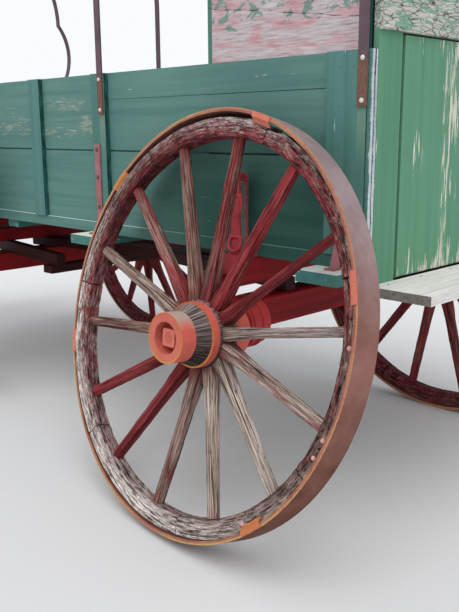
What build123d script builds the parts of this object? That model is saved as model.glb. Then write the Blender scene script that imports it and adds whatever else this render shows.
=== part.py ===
from build123d import *
import os
from math import asin, atan2, cos, degrees, hypot, pi, radians, sin, sqrt

# Covered wagon with bare cover bows and a chuck box in the tail of the bed.
# The front of the wagon points to -X, its left side to -Y, and the ground is Z 0.
# All lengths are millimetres and all angles are degrees.

os.makedirs("parts", exist_ok=True)

# Overall running gear
wheelbase = 2050
track = 1472
rear_tyre_radius = 660
front_tyre_radius = 560
rear_spoke_count = 14
front_spoke_count = 12

# Iron tyre and wooden rim
tyre_width = 90
tyre_thickness = 12
felloe_width = 62
felloe_depth = 56
felloe_joint = 4
felloe_rounding = 10
spokes_per_felloe = 2
rim_clearance = 0.2

# Spokes
foot_depth = 56
foot_spacing = 4
foot_inset = 4
foot_corner = 5
spoke_end_width = 36
spoke_end_depth = 32
spoke_end_corner = 10
spoke_waist_width = 38
spoke_waist_depth = 44
spoke_waist_corner = 12
spoke_waist_share = 0.3
tongue_side = 22
tongue_play = 0.05
spoke_shoulder_gap = 0.3

# Hub, measured along its own axis from the middle plane of the rim, outwards positive
hub_nose = 135
hub_tail = -150
dish = 30
flange_width = 68
flange_radius = 108
shoulder_band_width = 28
shoulder_band_radius = 103
shoulder_seat_radius = 97
end_band_width = 56
nose_band_radius = 78
nose_seat_radius = 72
tail_band_width = 42
tail_band_radius = 84
tail_seat_radius = 80
band_clearance = 0.1
nose_recess_radius = 50
nose_recess_depth = 52

# Skeins, the iron arms that the hubs turn on, and their nuts
skein_tail_radius = 38
skein_nose_radius = 28
bearing_clearance = 0.05
stud_radius = 18
nut_width = 54
nut_length = 30
nut_collar_radius = 40
nut_collar_length = 8
nut_gap = 0.5
nut_corner = 8
bell_length = 88
bell_radius = 82
bell_ridge_radius = 88
bell_ridge_width = 10
bell_hub_gap = 9
bell_droop_share = 0.8

# Axles, bolsters and the parts between them
axle_width = 100
axle_height = 100
rear_axle_drop = 10
bolster_width = 100
bolster_reach = 610
timber_chamfer = 6
bed_bottom = 840
bolster_height = 88
bolster_cap_thickness = 6
bolster_cap_inner = 520
bolster_cap_drop = 50
hound_height = 56
rub_plate_thickness = 6
rub_plate_radius = 110
rub_gap = 0.5
king_pin_radius = 14
king_pin_head_radius = 26
king_pin_head_height = 12
king_pin_head_play = 1
king_pin_tail = 30

# Reach and rear hounds, on one sloping plane
reach_width = 90
reach_height = 44
reach_overhang = 80
reach_front_lift = 6
rear_hound_width = 46
rear_hound_spread = 330
rear_hound_run = 950
seat_gap = 0.3

# Front hounds and tongue
tongue_pin_ahead = 570
tongue_length = 3200
tongue_root_width = 90
tongue_root_height = 84
tongue_tip_radius = 32
tongue_stub = 110
tongue_pin_radius = 13
pin_clearance = 0.05
jaw_clearance = 5
front_hound_width = 46
front_hound_spread = 300
front_hound_tail = 640
jaw_length = 190
sway_bar_width = 70
sway_bar_height = 36
sway_bar_overhang = 20

# Doubletree and singletrees
doubletree_ahead = 480
doubletree_length = 1180
doubletree_width = 92
doubletree_end = 60
doubletree_middle = 260
doubletree_height = 46
singletree_station = 550
singletree_length = 760
singletree_radius = 26
singletree_end_radius = 18
tree_pin_radius = 10
tree_collar_radius = 20
tree_gap = 6
yoke_hole_radius = 10
yoke_hole_back = 90
pin_stick_out = 15

# Bolster stakes
stake_outer = 569
stake_inner = 529
stake_top = 1105
strap_thickness = 6
strap_width = 36
core_width = 30
core_drop = 30

# Bed
bed_front = -2760
bed_rear = 447
bed_inside_width = 965
side_thickness = 20
floor_thickness = 25
floor_board_count = 5
floor_gap = 3
sill_height = 40
sill_proud = 12
side_seam = 1160
side_top = 1445
repair_seam = 1350
seam_gap = 2
gate_inset = 22
gate_batten_station = 300
gate_batten_width = 70
cleat_thickness = 20
plank_thickness = 35
plank_reach = 615
hidden_sill_reach = 500

# Cover bows
bow_width = 30
bow_thickness = 7
bow_foot = 1295
bow_top = 2400
bow_bulge = 48
bow_bulge_middle = 1790
bow_bulge_foot = 1500

# Chuck box
chuck_front = -210
chuck_top = 1750
chuck_panel = 18
rear_wall_bottom = 772
lid_top = 1490
lid_half_width = 359
lid_side_gap = 14
lid_gap = 3
lid_foot_gap = 5
stile_half_width = 485
header_proud = 12
trim_thickness = 10
trim_proud = 15
chuck_shelf_count = 3
chuck_shelf_thickness = 16
rail_height = 18
lid_pin_radius = 4
lid_pin_reach = 30

# Tail shelf
shelf_top = 796
shelf_thickness = 28
shelf_reach = 205
shelf_half_width = 500

# Positions that follow from the sizes above
front_axle_from_rear = -wheelbase
rear_axle_z = rear_tyre_radius
hound_bottom = front_tyre_radius + axle_height / 2
hound_middle = hound_bottom + hound_height / 2
tongue_drop = asin(hound_middle / hypot(tongue_length, tongue_tip_radius))
tongue_drop -= atan2(tongue_tip_radius, tongue_length)
tongue_run = tongue_length * cos(tongue_drop) + tongue_tip_radius * sin(tongue_drop)
front_reach = wheelbase + tongue_pin_ahead + tongue_run
tail_reach = bed_rear + chuck_panel + shelf_reach
rear_x = (front_reach - tail_reach) / 2
front_x = rear_x + front_axle_from_rear
tongue_pin_x = front_x - tongue_pin_ahead
side_inner = bed_inside_width / 2
side_outer = side_inner + side_thickness
cleat_outer = side_outer + cleat_thickness
floor_top = bed_bottom + floor_thickness
sill_top = bed_bottom + sill_height
bed_x0 = rear_x + bed_front
bed_x1 = rear_x + bed_rear
trim_front = bed_rear + chuck_panel - trim_thickness

# Cleats across the side boards. Columns: front, rear
cleat_rows = [(-2760, -2620), (-1740, -1655), (-1277, -1197), (-823, -738), (317, trim_front)]
repair_start = sum(cleat_rows[3]) / 2

# Wheels. Rims lean in at the top, and the worn left rear wheel hangs crooked on its hub.
# Columns: name, axle x, side, tyre radius, spokes, first spoke,
# rim lean, rim toe, tyre slack, hub drop, hub lean
wheel_rows = [
    ("rear_left", rear_x, -1, rear_tyre_radius, rear_spoke_count, 34.7, 14, 4.2, 8, 36, 5.5),
    ("rear_right", rear_x, 1, rear_tyre_radius, rear_spoke_count, 0, 0, 0, 0, 0, 0),
    ("front_left", front_x, -1, front_tyre_radius, front_spoke_count, 0, 0, 0, 0, 0, 0),
    ("front_right", front_x, 1, front_tyre_radius, front_spoke_count, 0, 0, 0, 0, 0, 0),
]


def export(builder, label):
    """Label one finished piece and write it."""
    builder.part.label = label
    export_step(builder.part, f"parts/{label}.step")


def beam(x_span, y_span, z_span):
    """Add a straight timber to the current part, from its three spans."""
    centre = [(span[0] + span[1]) / 2 for span in (x_span, y_span, z_span)]
    with Locations(tuple(centre)):
        Box(x_span[1] - x_span[0], y_span[1] - y_span[0], z_span[1] - z_span[0])


def sided(side, inner, outer):
    """The y span of a piece on one side of the wagon, from its distances to the middle."""
    return tuple(sorted((side * inner, side * outer)))


def outward(side, lean, toe):
    """The direction of a wheel's axis, out from the wagon."""
    level = cos(radians(lean))
    return Vector(-sin(radians(toe)) * level, side * cos(radians(toe)) * level, sin(radians(lean)))


def wheel_plane(origin, axis):
    """A plane square to a wheel's axis, with its y up."""
    across = Vector(0, 0, 1).cross(axis).normalized()
    return Plane(origin=origin, x_dir=across, z_dir=axis)


def profile_plane(plane):
    """The plane through a wheel's axis: x is the radius and y runs outwards along the axis."""
    return Plane(origin=plane.origin, x_dir=plane.x_dir, z_dir=-plane.y_dir)


def turned(plane, angle, radius):
    """A plane square to the radius at an angle of a wheel, at a distance from its axis."""
    along = plane.x_dir * cos(radians(angle)) + plane.y_dir * sin(radians(angle))
    return Plane(origin=plane.origin + along * radius, x_dir=plane.z_dir, z_dir=along)


def skein_radius(station):
    """Radius of the tapered arm at a station along the hub."""
    share = (station - hub_tail) / (hub_nose - nose_recess_depth - hub_tail)
    return skein_tail_radius + (skein_nose_radius - skein_tail_radius) * share


# Wheels, skeins and nuts
flange_outer = -dish + flange_width / 2
flange_inner = -dish - flange_width / 2
recess_floor = hub_nose - nose_recess_depth
skein_builders = {}
nut_builders = {}
hub_centres = {}
for name, axle_x, side, radius, spokes, first, lean, toe, slack, drop, hub_lean in wheel_rows:
    rim_axis = outward(side, lean, toe)
    rim_z = radius * cos(radians(lean)) + tyre_width / 2 * sin(radians(lean))
    tyre_plane = wheel_plane(Vector(axle_x, side * track / 2, rim_z), rim_axis)
    rim_plane = wheel_plane(tyre_plane.origin - tyre_plane.y_dir * slack, rim_axis)
    hub_centre = tyre_plane.origin - Vector(0, 0, drop)
    hub_plane = wheel_plane(hub_centre, outward(side, hub_lean, 0))
    hub_centres[name] = hub_plane
    rim_outer = radius - tyre_thickness - slack - rim_clearance
    rim_inner = rim_outer - felloe_depth
    spoke_end_radius = sqrt((rim_inner - spoke_shoulder_gap) ** 2 - (spoke_end_width / 2) ** 2)

    with BuildPart() as tyre:
        with BuildSketch(profile_plane(tyre_plane)):
            with Locations((radius - tyre_thickness / 2, 0)):
                Rectangle(tyre_thickness, tyre_width)
        revolve(axis=Axis(tyre_plane.origin, rim_axis))
    export(tyre, f"{name}_tyre")

    # One felloe covers two spokes, and a small open joint parts it from the next
    pitch = 360 / spokes
    felloe_arc = spokes_per_felloe * pitch
    joint_angle = degrees(felloe_joint / rim_outer)
    start = first - pitch / 2
    with BuildPart(mode=Mode.PRIVATE) as felloe:
        with BuildSketch(Plane.XZ) as section:
            with Locations(((rim_outer + rim_inner) / 2, 0)):
                Rectangle(felloe_depth, felloe_width)
            chamfer(section.vertices().group_by(Axis.X)[0], felloe_rounding)
        revolve(axis=Axis.Z, revolution_arc=felloe_arc - joint_angle)
        for turn in range(spokes_per_felloe):
            angle = pitch * (turn + 0.5) - joint_angle / 2
            with BuildSketch(turned(Plane.XY, angle, rim_inner - felloe_depth)):
                Rectangle(tongue_side + 2 * tongue_play, tongue_side + 2 * tongue_play)
            extrude(amount=3 * felloe_depth, mode=Mode.SUBTRACT)
    with BuildPart() as felloes:
        for turn in range(spokes // spokes_per_felloe):
            angle = start + joint_angle / 2 + turn * felloe_arc
            add(felloe.part.moved(rim_plane.location * Location((0, 0, 0), (0, 0, angle))))
    export(felloes, f"{name}_felloes")

    # Each spoke runs from its foot on the hub flange to a square tongue through its felloe
    foot_width = 2 * pi * flange_radius / spokes - foot_spacing
    foot_plane_base = wheel_plane(hub_centre - hub_plane.z_dir * dish, hub_plane.z_dir)
    with BuildPart() as spoke_set:
        for turn in range(spokes):
            angle = first + turn * pitch
            foot_plane = turned(foot_plane_base, angle, flange_radius - foot_inset)
            end_plane = turned(rim_plane, angle, spoke_end_radius)
            waist_origin = foot_plane.origin + (end_plane.origin - foot_plane.origin) * spoke_waist_share
            waist_plane = Plane(waist_origin, x_dir=foot_plane.x_dir, z_dir=foot_plane.z_dir)
            # Columns: plane, depth, width, corner
            section_rows = [
                (foot_plane, foot_depth, foot_width, foot_corner),
                (waist_plane, spoke_waist_depth, spoke_waist_width, spoke_waist_corner),
                (end_plane, spoke_end_depth, spoke_end_width, spoke_end_corner),
            ]
            for plane, depth, width, corner in section_rows:
                with BuildSketch(plane) as section:
                    Rectangle(depth, width)
                    chamfer(section.vertices(), corner)
            loft(ruled=True)
            with BuildSketch(end_plane):
                Rectangle(tongue_side, tongue_side)
            extrude(amount=felloe_depth)
        with BuildSketch(foot_plane_base.offset(-foot_depth)):
            Circle(flange_radius + band_clearance)
        extrude(amount=2 * foot_depth, mode=Mode.SUBTRACT)
    export(spoke_set, f"{name}_spokes")

    # Turned wooden hub with a tapered bore
    with BuildPart() as hub:
        with BuildSketch(profile_plane(hub_plane)):
            with BuildLine():
                Polyline(
                    (skein_radius(hub_tail) + bearing_clearance, hub_tail),
                    (tail_seat_radius, hub_tail),
                    (tail_seat_radius, hub_tail + tail_band_width),
                    (tail_band_radius, hub_tail + tail_band_width),
                    (shoulder_seat_radius, flange_inner - shoulder_band_width),
                    (shoulder_seat_radius, flange_inner),
                    (flange_radius, flange_inner),
                    (flange_radius, flange_outer),
                    (shoulder_seat_radius, flange_outer),
                    (shoulder_seat_radius, flange_outer + shoulder_band_width),
                    (nose_band_radius, hub_nose - end_band_width),
                    (nose_seat_radius, hub_nose - end_band_width),
                    (nose_seat_radius, hub_nose),
                    (nose_recess_radius, hub_nose),
                    (nose_recess_radius, recess_floor),
                    (skein_radius(recess_floor) + bearing_clearance, recess_floor),
                    close=True,
                )
            make_face()
        revolve(axis=Axis(hub_centre, hub_plane.z_dir))
    export(hub, f"{name}_hub")

    # Columns: inner radius, outer radius, start, width
    band_rows = [
        (tail_seat_radius, tail_band_radius, hub_tail, tail_band_width),
        (shoulder_seat_radius, shoulder_band_radius, flange_inner - shoulder_band_width, shoulder_band_width),
        (shoulder_seat_radius, shoulder_band_radius, flange_outer, shoulder_band_width),
        (nose_seat_radius, nose_band_radius, hub_nose - end_band_width, end_band_width),
    ]
    with BuildPart() as bands:
        for inner, outer, band_start, band_width in band_rows:
            with BuildSketch(hub_plane.offset(band_start)):
                Circle(outer)
                Circle(inner + band_clearance, mode=Mode.SUBTRACT)
            extrude(amount=band_width)
    export(bands, f"{name}_hub_bands")

    # Iron bell on the axle's end, the tapered arm and its threaded stud
    beam_z = rear_axle_z - rear_axle_drop if axle_x == rear_x else front_tyre_radius
    bell_z = beam_z - drop * bell_droop_share
    bell_outer = track / 2 + hub_tail - bell_hub_gap
    bell_plane = Plane(
        origin=(axle_x, side * (bell_outer - bell_length), bell_z),
        x_dir=(-side, 0, 0),
        z_dir=(0, side, 0),
    )
    with BuildPart() as skein:
        with BuildSketch(bell_plane):
            Circle(bell_radius)
        extrude(amount=bell_length)
        for ridge in (1, 3):
            with BuildSketch(bell_plane.offset(bell_length - ridge * 2 * bell_ridge_width)):
                Circle(bell_ridge_radius)
            extrude(amount=bell_ridge_width)
        with BuildSketch(profile_plane(hub_plane)):
            with BuildLine():
                Polyline(
                    (0, hub_tail - 2 * bell_hub_gap),
                    (skein_radius(hub_tail - 2 * bell_hub_gap), hub_tail - 2 * bell_hub_gap),
                    (skein_radius(recess_floor), recess_floor),
                    (stud_radius, recess_floor),
                    (stud_radius, recess_floor + nut_gap + nut_collar_length + nut_length),
                    (0, recess_floor + nut_gap + nut_collar_length + nut_length),
                    close=True,
                )
            make_face()
        revolve(axis=Axis(hub_centre, hub_plane.z_dir))
    skein_builders[name] = skein

    with BuildPart() as nut:
        with BuildSketch(hub_plane.offset(recess_floor + nut_gap)):
            Circle(nut_collar_radius)
            Circle(stud_radius + pin_clearance, mode=Mode.SUBTRACT)
        extrude(amount=nut_collar_length)
        with BuildSketch(hub_plane.offset(recess_floor + nut_gap + nut_collar_length)):
            RectangleRounded(nut_width, nut_width, nut_corner)
            Circle(stud_radius + pin_clearance, mode=Mode.SUBTRACT)
        extrude(amount=nut_length)
    nut_builders[name] = nut

for end in ("rear", "front"):
    with BuildPart() as skeins:
        add(skein_builders[f"{end}_left"].part)
        add(skein_builders[f"{end}_right"].part)
    export(skeins, f"{end}_skeins")
    with BuildPart() as nuts:
        add(nut_builders[f"{end}_left"].part)
        add(nut_builders[f"{end}_right"].part)
    export(nuts, f"{end}_hub_nuts")

# Rear axle
axle_half = track / 2 + hub_tail - bell_hub_gap - bell_length
rear_axle_top = rear_axle_z - rear_axle_drop + axle_height / 2
with BuildPart() as rear_axle:
    beam(
        (rear_x - axle_width / 2, rear_x + axle_width / 2),
        (-axle_half, axle_half),
        (rear_axle_top - axle_height, rear_axle_top),
    )
    chamfer(rear_axle.edges().filter_by(Axis.Y), timber_chamfer)
export(rear_axle, "rear_axle")

# Front axle with the king pin hole
front_axle_top = front_tyre_radius + axle_height / 2
with BuildPart() as front_axle:
    beam(
        (front_x - axle_width / 2, front_x + axle_width / 2),
        (-axle_half, axle_half),
        (front_axle_top - axle_height, front_axle_top),
    )
    chamfer(front_axle.edges().filter_by(Axis.Y), timber_chamfer)
    with Locations((front_x, 0, front_axle_top)):
        Hole(king_pin_radius + pin_clearance)
export(front_axle, "front_axle")

# Bolsters that carry the bed on the rear axle and on the king pin
bolster_bottom = bed_bottom - bolster_height
with BuildPart() as bolsters:
    for axle_x in (rear_x, front_x):
        beam(
            (axle_x - bolster_width / 2, axle_x + bolster_width / 2),
            (-bolster_reach, bolster_reach),
            (bolster_bottom, bed_bottom),
        )
    chamfer(bolsters.edges().filter_by(Axis.Y), timber_chamfer)
    with Locations((front_x, 0, bed_bottom)):
        Hole(king_pin_radius + pin_clearance)
        Hole(king_pin_head_radius + king_pin_head_play, depth=king_pin_head_height + king_pin_head_play)
export(bolsters, "bolsters")

# Reach: a sloping pole from the king pin back over the rear axle
front_reach_bottom = hound_bottom + reach_front_lift
reach_rise = rear_axle_top + seat_gap - front_reach_bottom
reach_slope = atan2(reach_rise, wheelbase - axle_width / 2)
reach_plane = Plane(
    origin=(front_x, 0, front_reach_bottom),
    x_dir=(cos(reach_slope), 0, sin(reach_slope)),
    z_dir=(-sin(reach_slope), 0, cos(reach_slope)),
)
reach_run = (wheelbase + axle_width / 2 + reach_overhang) / cos(reach_slope)
with BuildPart() as reach:
    with BuildSketch(reach_plane):
        with Locations(((reach_run - reach_overhang) / 2, 0)):
            Rectangle(reach_run + reach_overhang, reach_width)
    extrude(amount=reach_height)
    with BuildSketch(Plane.XY):
        with Locations((front_x, 0)):
            Circle(king_pin_radius + pin_clearance)
    extrude(amount=bed_bottom, mode=Mode.SUBTRACT)
export(reach, "reach")

# Rear hounds: two braces that spread from the reach back to the axle
hound_start = wheelbase - rear_hound_run
hound_end = wheelbase + axle_width / 2
with BuildPart() as rear_hounds:
    for side in (-1, 1):
        with BuildSketch(reach_plane):
            with BuildLine():
                Polyline(
                    (hound_start, side * (reach_width / 2 + seat_gap)),
                    (hound_start, side * (reach_width / 2 + seat_gap + rear_hound_width)),
                    (hound_end, side * (rear_hound_spread + rear_hound_width)),
                    (hound_end, side * rear_hound_spread),
                    (hound_start + rear_hound_width * 3, side * (reach_width / 2 + seat_gap)),
                    close=True,
                )
            make_face()
        extrude(amount=reach_height)
export(rear_hounds, "rear_hounds")

# Front hounds, which hold the tongue between their jaws, with the sway bar at their tails
jaw_inner = tongue_root_width / 2 + jaw_clearance
jaw_rear = tongue_pin_x + jaw_length - tongue_stub / 2
jaw_front = tongue_pin_x - tongue_stub / 2
with BuildPart() as front_hounds:
    for side in (-1, 1):
        with BuildSketch(Plane.XY.offset(hound_bottom)):
            with BuildLine():
                Polyline(
                    (jaw_front, side * jaw_inner),
                    (jaw_rear, side * jaw_inner),
                    (front_x - axle_width, side * (front_hound_spread - 2 * front_hound_width)),
                    (front_x + front_hound_tail, side * front_hound_spread),
                    (front_x + front_hound_tail, side * (front_hound_spread + front_hound_width)),
                    (front_x - axle_width, side * (front_hound_spread - front_hound_width)),
                    (jaw_rear, side * (jaw_inner + front_hound_width)),
                    (jaw_front, side * (jaw_inner + front_hound_width)),
                    close=True,
                )
            make_face()
        extrude(amount=hound_height)
    with BuildSketch(Plane.XZ.offset(-2 * jaw_inner - front_hound_width)):
        with Locations((tongue_pin_x, hound_middle)):
            Circle(tongue_pin_radius + pin_clearance)
    extrude(amount=2 * (2 * jaw_inner + front_hound_width), mode=Mode.SUBTRACT)
    sway_half = front_hound_spread + front_hound_width + sway_bar_overhang
    beam(
        (
            front_x + front_hound_tail - sway_bar_width - sway_bar_overhang,
            front_x + front_hound_tail - sway_bar_overhang,
        ),
        (-sway_half, sway_half),
        (hound_bottom - sway_bar_height, hound_bottom),
    )
export(front_hounds, "front_hounds")

# Sand board and rub plates between the front hounds and the front bolster
sand_board_bottom = hound_bottom + hound_height
sand_board_top = bolster_bottom - 2 * rub_plate_thickness - rub_gap
with BuildPart() as sand_board:
    beam(
        (front_x - axle_width / 2, front_x + axle_width / 2),
        (-axle_half + tyre_width, axle_half - tyre_width),
        (sand_board_bottom, sand_board_top),
    )
    chamfer(sand_board.edges().filter_by(Axis.Y), timber_chamfer)
    with Locations((front_x, 0, sand_board_top)):
        Hole(king_pin_radius + pin_clearance)
export(sand_board, "sand_board")

for label, plate_bottom in (
    ("lower_rub_plate", sand_board_top),
    ("upper_rub_plate", bolster_bottom - rub_plate_thickness),
):
    with BuildPart() as plate:
        with BuildSketch(Plane.XY.offset(plate_bottom)):
            with Locations((front_x, 0)):
                Circle(rub_plate_radius)
                Circle(king_pin_radius + pin_clearance, mode=Mode.SUBTRACT)
        extrude(amount=rub_plate_thickness)
    export(plate, label)

with BuildPart() as king_pin:
    with BuildSketch(Plane.XY.offset(front_axle_top - axle_height - king_pin_tail)):
        with Locations((front_x, 0)):
            Circle(king_pin_radius)
    extrude(amount=bed_bottom - front_axle_top + axle_height + king_pin_tail)
    with BuildSketch(Plane.XY.offset(bed_bottom - king_pin_head_height)):
        with Locations((front_x, 0)):
            Circle(king_pin_head_radius)
    extrude(amount=king_pin_head_height)
export(king_pin, "king_pin")

# Bolster stakes: a wooden core in an iron strap that loops over it and ends in a cap on the bolster's end
stake_middle = (stake_inner + stake_outer) / 2
stake_half = (stake_outer - stake_inner) / 2
stake_arch = stake_top - stake_half
stake_foot = bed_bottom + bolster_cap_thickness
with BuildPart() as stakes:
    for axle_x in (rear_x, front_x):
        for side in (-1, 1):
            beam(
                (axle_x - core_width / 2, axle_x + core_width / 2),
                sided(
                    side, stake_inner + strap_thickness + seat_gap, stake_outer - strap_thickness - seat_gap
                ),
                (stake_foot, stake_top - core_drop),
            )
export(stakes, "bolster_stakes")
with BuildPart() as straps:
    for axle_x in (rear_x, front_x):
        for side in (-1, 1):
            with BuildSketch(Plane.YZ.offset(axle_x - strap_width / 2)):
                with Locations((side * stake_middle, (stake_foot + stake_arch) / 2)):
                    Rectangle(2 * stake_half, stake_arch - stake_foot)
                with Locations((side * stake_middle, stake_arch)):
                    Circle(stake_half)
                with Locations((side * stake_middle, (stake_foot + stake_arch) / 2)):
                    Rectangle(2 * (stake_half - strap_thickness), stake_arch - stake_foot, mode=Mode.SUBTRACT)
                with Locations((side * stake_middle, stake_arch)):
                    Circle(stake_half - strap_thickness, mode=Mode.SUBTRACT)
            extrude(amount=strap_width)
            cap_x = (axle_x - bolster_width / 2, axle_x + bolster_width / 2)
            cap_end = bolster_reach + bolster_cap_thickness
            beam(cap_x, sided(side, bolster_cap_inner, cap_end), (bed_bottom, stake_foot))
            beam(cap_x, sided(side, bolster_reach, cap_end), (bed_bottom - bolster_cap_drop, bed_bottom))
export(straps, "stake_straps")

# Tongue, lying with its tip on the ground
tongue_plane = Plane(
    origin=(tongue_pin_x, 0, hound_middle),
    x_dir=(-cos(tongue_drop), 0, -sin(tongue_drop)),
    z_dir=(-sin(tongue_drop), 0, cos(tongue_drop)),
)
tongue_section = Plane(origin=tongue_plane.origin, x_dir=tongue_plane.y_dir, z_dir=tongue_plane.x_dir)
with BuildPart() as tongue:
    with BuildSketch(tongue_section.offset(-tongue_stub)):
        RectangleRounded(tongue_root_width, tongue_root_height, timber_chamfer)
    with BuildSketch(tongue_section.offset(tongue_length)):
        RectangleRounded(2 * tongue_tip_radius, 2 * tongue_tip_radius, timber_chamfer)
    loft(ruled=True)
    with BuildSketch(Plane.XZ.offset(-tongue_root_width)):
        with Locations((tongue_pin_x, hound_middle)):
            Circle(tongue_pin_radius + pin_clearance)
    extrude(amount=2 * tongue_root_width, mode=Mode.SUBTRACT)
    with BuildSketch(tongue_plane.offset(-tongue_root_height)):
        with Locations((doubletree_ahead, 0)):
            Circle(tree_pin_radius + pin_clearance)
        with Locations((tongue_length - yoke_hole_back, 0)):
            Circle(yoke_hole_radius)
    extrude(amount=2 * tongue_root_height, mode=Mode.SUBTRACT)
export(tongue, "tongue")

# Doubletree on top of the tongue and a singletree on each of its ends
tongue_share = (doubletree_ahead + tongue_stub) / (tongue_length + tongue_stub)
tongue_half_height = tongue_root_height / 2 + (tongue_tip_radius - tongue_root_height / 2) * tongue_share
tree_bottom = tongue_half_height + tree_gap
tree_top = tree_bottom + doubletree_height
single_middle = tree_top + tree_gap + singletree_radius
with BuildPart() as doubletree:
    with BuildSketch(tongue_plane.offset(tree_bottom)):
        with BuildLine():
            Polyline(
                (doubletree_ahead - doubletree_width / 2, -doubletree_middle / 2),
                (doubletree_ahead - doubletree_end / 2, -doubletree_length / 2),
                (doubletree_ahead + doubletree_end / 2, -doubletree_length / 2),
                (doubletree_ahead + doubletree_width / 2, -doubletree_middle / 2),
                (doubletree_ahead + doubletree_width / 2, doubletree_middle / 2),
                (doubletree_ahead + doubletree_end / 2, doubletree_length / 2),
                (doubletree_ahead - doubletree_end / 2, doubletree_length / 2),
                (doubletree_ahead - doubletree_width / 2, doubletree_middle / 2),
                close=True,
            )
        make_face()
        with Locations((doubletree_ahead, 0)):
            Circle(tree_pin_radius + pin_clearance, mode=Mode.SUBTRACT)
        for side in (-1, 1):
            with Locations((doubletree_ahead, side * singletree_station)):
                Circle(tree_pin_radius + pin_clearance, mode=Mode.SUBTRACT)
    extrude(amount=doubletree_height)
export(doubletree, "doubletree")

with BuildPart() as tongue_pins:
    with BuildSketch(Plane.XZ.offset(-jaw_inner - front_hound_width - pin_stick_out)):
        with Locations((tongue_pin_x, hound_middle)):
            Circle(tongue_pin_radius)
    extrude(amount=2 * (jaw_inner + front_hound_width + pin_stick_out))
    # Columns: radius, start, end, along the doubletree's pin
    for radius, start, end in (
        (tree_pin_radius, -tongue_half_height - 3 * pin_stick_out, tree_top + tree_gap),
        (tree_collar_radius, tongue_half_height + seat_gap, tree_bottom - seat_gap),
        (tree_collar_radius, tree_top + seat_gap, tree_top + tree_gap),
    ):
        with BuildSketch(tongue_plane.offset(start)):
            with Locations((doubletree_ahead, 0)):
                Circle(radius)
        extrude(amount=end - start)
export(tongue_pins, "tongue_pins")

with BuildPart() as singletree_pins:
    for side in (-1, 1):
        # Columns: radius, start, end, along the pin
        for radius, start, end in (
            (tree_pin_radius, tree_bottom, single_middle + singletree_radius + tree_gap),
            (tree_collar_radius, tree_top, tree_top + tree_gap - seat_gap),
        ):
            with BuildSketch(tongue_plane.offset(start)):
                with Locations((doubletree_ahead, side * singletree_station)):
                    Circle(radius)
            extrude(amount=end - start)
export(singletree_pins, "singletree_pins")

for label, side in (("left", -1), ("right", 1)):
    middle = tongue_plane.origin + tongue_plane.x_dir * doubletree_ahead + tongue_plane.z_dir * single_middle
    # The tongue plane's y points to the wagon's left, where the side is negative
    middle -= tongue_plane.y_dir * side * singletree_station
    bar_plane = Plane(origin=middle, x_dir=tongue_plane.x_dir, z_dir=tongue_plane.z_dir)
    with BuildPart() as singletree:
        with BuildSketch(bar_plane):
            with BuildLine():
                Polyline(
                    (0, -singletree_length / 2),
                    (singletree_end_radius, -singletree_length / 2),
                    (singletree_radius, 0),
                    (singletree_end_radius, singletree_length / 2),
                    (0, singletree_length / 2),
                    close=True,
                )
            make_face()
        revolve(axis=Axis(bar_plane.origin, bar_plane.y_dir))
        with BuildSketch(tongue_plane.offset(tree_top)):
            with Locations((doubletree_ahead, -side * singletree_station)):
                Circle(tree_pin_radius + pin_clearance)
        extrude(amount=4 * singletree_radius, mode=Mode.SUBTRACT)
    export(singletree, f"{label}_singletree")

# Bed floor boards, which meet end to end behind the front gate and in front of the chuck box
gate_x = bed_x0 + gate_inset
gate_back = gate_x + side_thickness
chuck_x0 = rear_x + chuck_front
board_width = (2 * side_inner - (floor_board_count + 1) * floor_gap) / floor_board_count
with BuildPart() as floor:
    for front, rear in ((bed_x0, gate_back), (gate_back + seam_gap, chuck_x0 - seam_gap), (chuck_x0, bed_x1)):
        for board in range(floor_board_count):
            y0 = -side_inner + floor_gap + board * (board_width + floor_gap)
            beam((front, rear), (y0, y0 + board_width), (bed_bottom, floor_top))
export(floor, "floor_boards")

with BuildPart() as sills:
    for side in (-1, 1):
        beam((bed_x0, bed_x1), sided(side, side_inner, side_outer + sill_proud), (bed_bottom, sill_top))
export(sills, "sills")

# Sills and cross planks. Columns: front, rear, half length
plank_rows = [
    (290, 440, plank_reach),
    (-870, -720, plank_reach),
    (-1560, -1470, hidden_sill_reach),
    (-2740, -2660, hidden_sill_reach),
]
with BuildPart() as planks:
    for front, rear, half in plank_rows:
        beam((rear_x + front, rear_x + rear), (-half, half), (bed_bottom - plank_thickness, bed_bottom))
export(planks, "cross_planks")

# Side boards. Columns: front, rear, bottom, top
board_rows = [
    (bed_front, bed_rear, sill_top, side_seam - seam_gap),
    (bed_front, repair_start - seam_gap, side_seam, side_top),
    (repair_start, bed_rear, side_seam, repair_seam - seam_gap),
    (repair_start, bed_rear, repair_seam, side_top),
]
with BuildPart() as boards:
    for side in (-1, 1):
        for front, rear, bottom, top in board_rows:
            beam((rear_x + front, rear_x + rear), sided(side, side_inner, side_outer), (bottom, top))
export(boards, "side_boards")
with BuildPart() as cleats:
    for side in (-1, 1):
        for front, rear in cleat_rows:
            beam((rear_x + front, rear_x + rear), sided(side, side_outer, cleat_outer), (sill_top, side_top))
export(cleats, "side_cleats")

# Front gate between the sides: two boards nailed to upright battens
with BuildPart() as gate:
    for bottom, top in ((floor_top, side_seam - seam_gap), (side_seam, side_top)):
        beam((gate_x, gate_back), (-side_inner + seam_gap, side_inner - seam_gap), (bottom, top))
    for y in (-gate_batten_station, gate_batten_station):
        beam(
            (gate_x - cleat_thickness, gate_x),
            (y - gate_batten_width / 2, y + gate_batten_width / 2),
            (floor_top, side_top),
        )
export(gate, "front_gate")

# Strap braces down the cleats and out to a foot on each plank end
brace_width = 34
brace_thickness = 6
brace_top = 1186
brace_bend = 905
brace_heel = 540
brace_toe = 572
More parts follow.
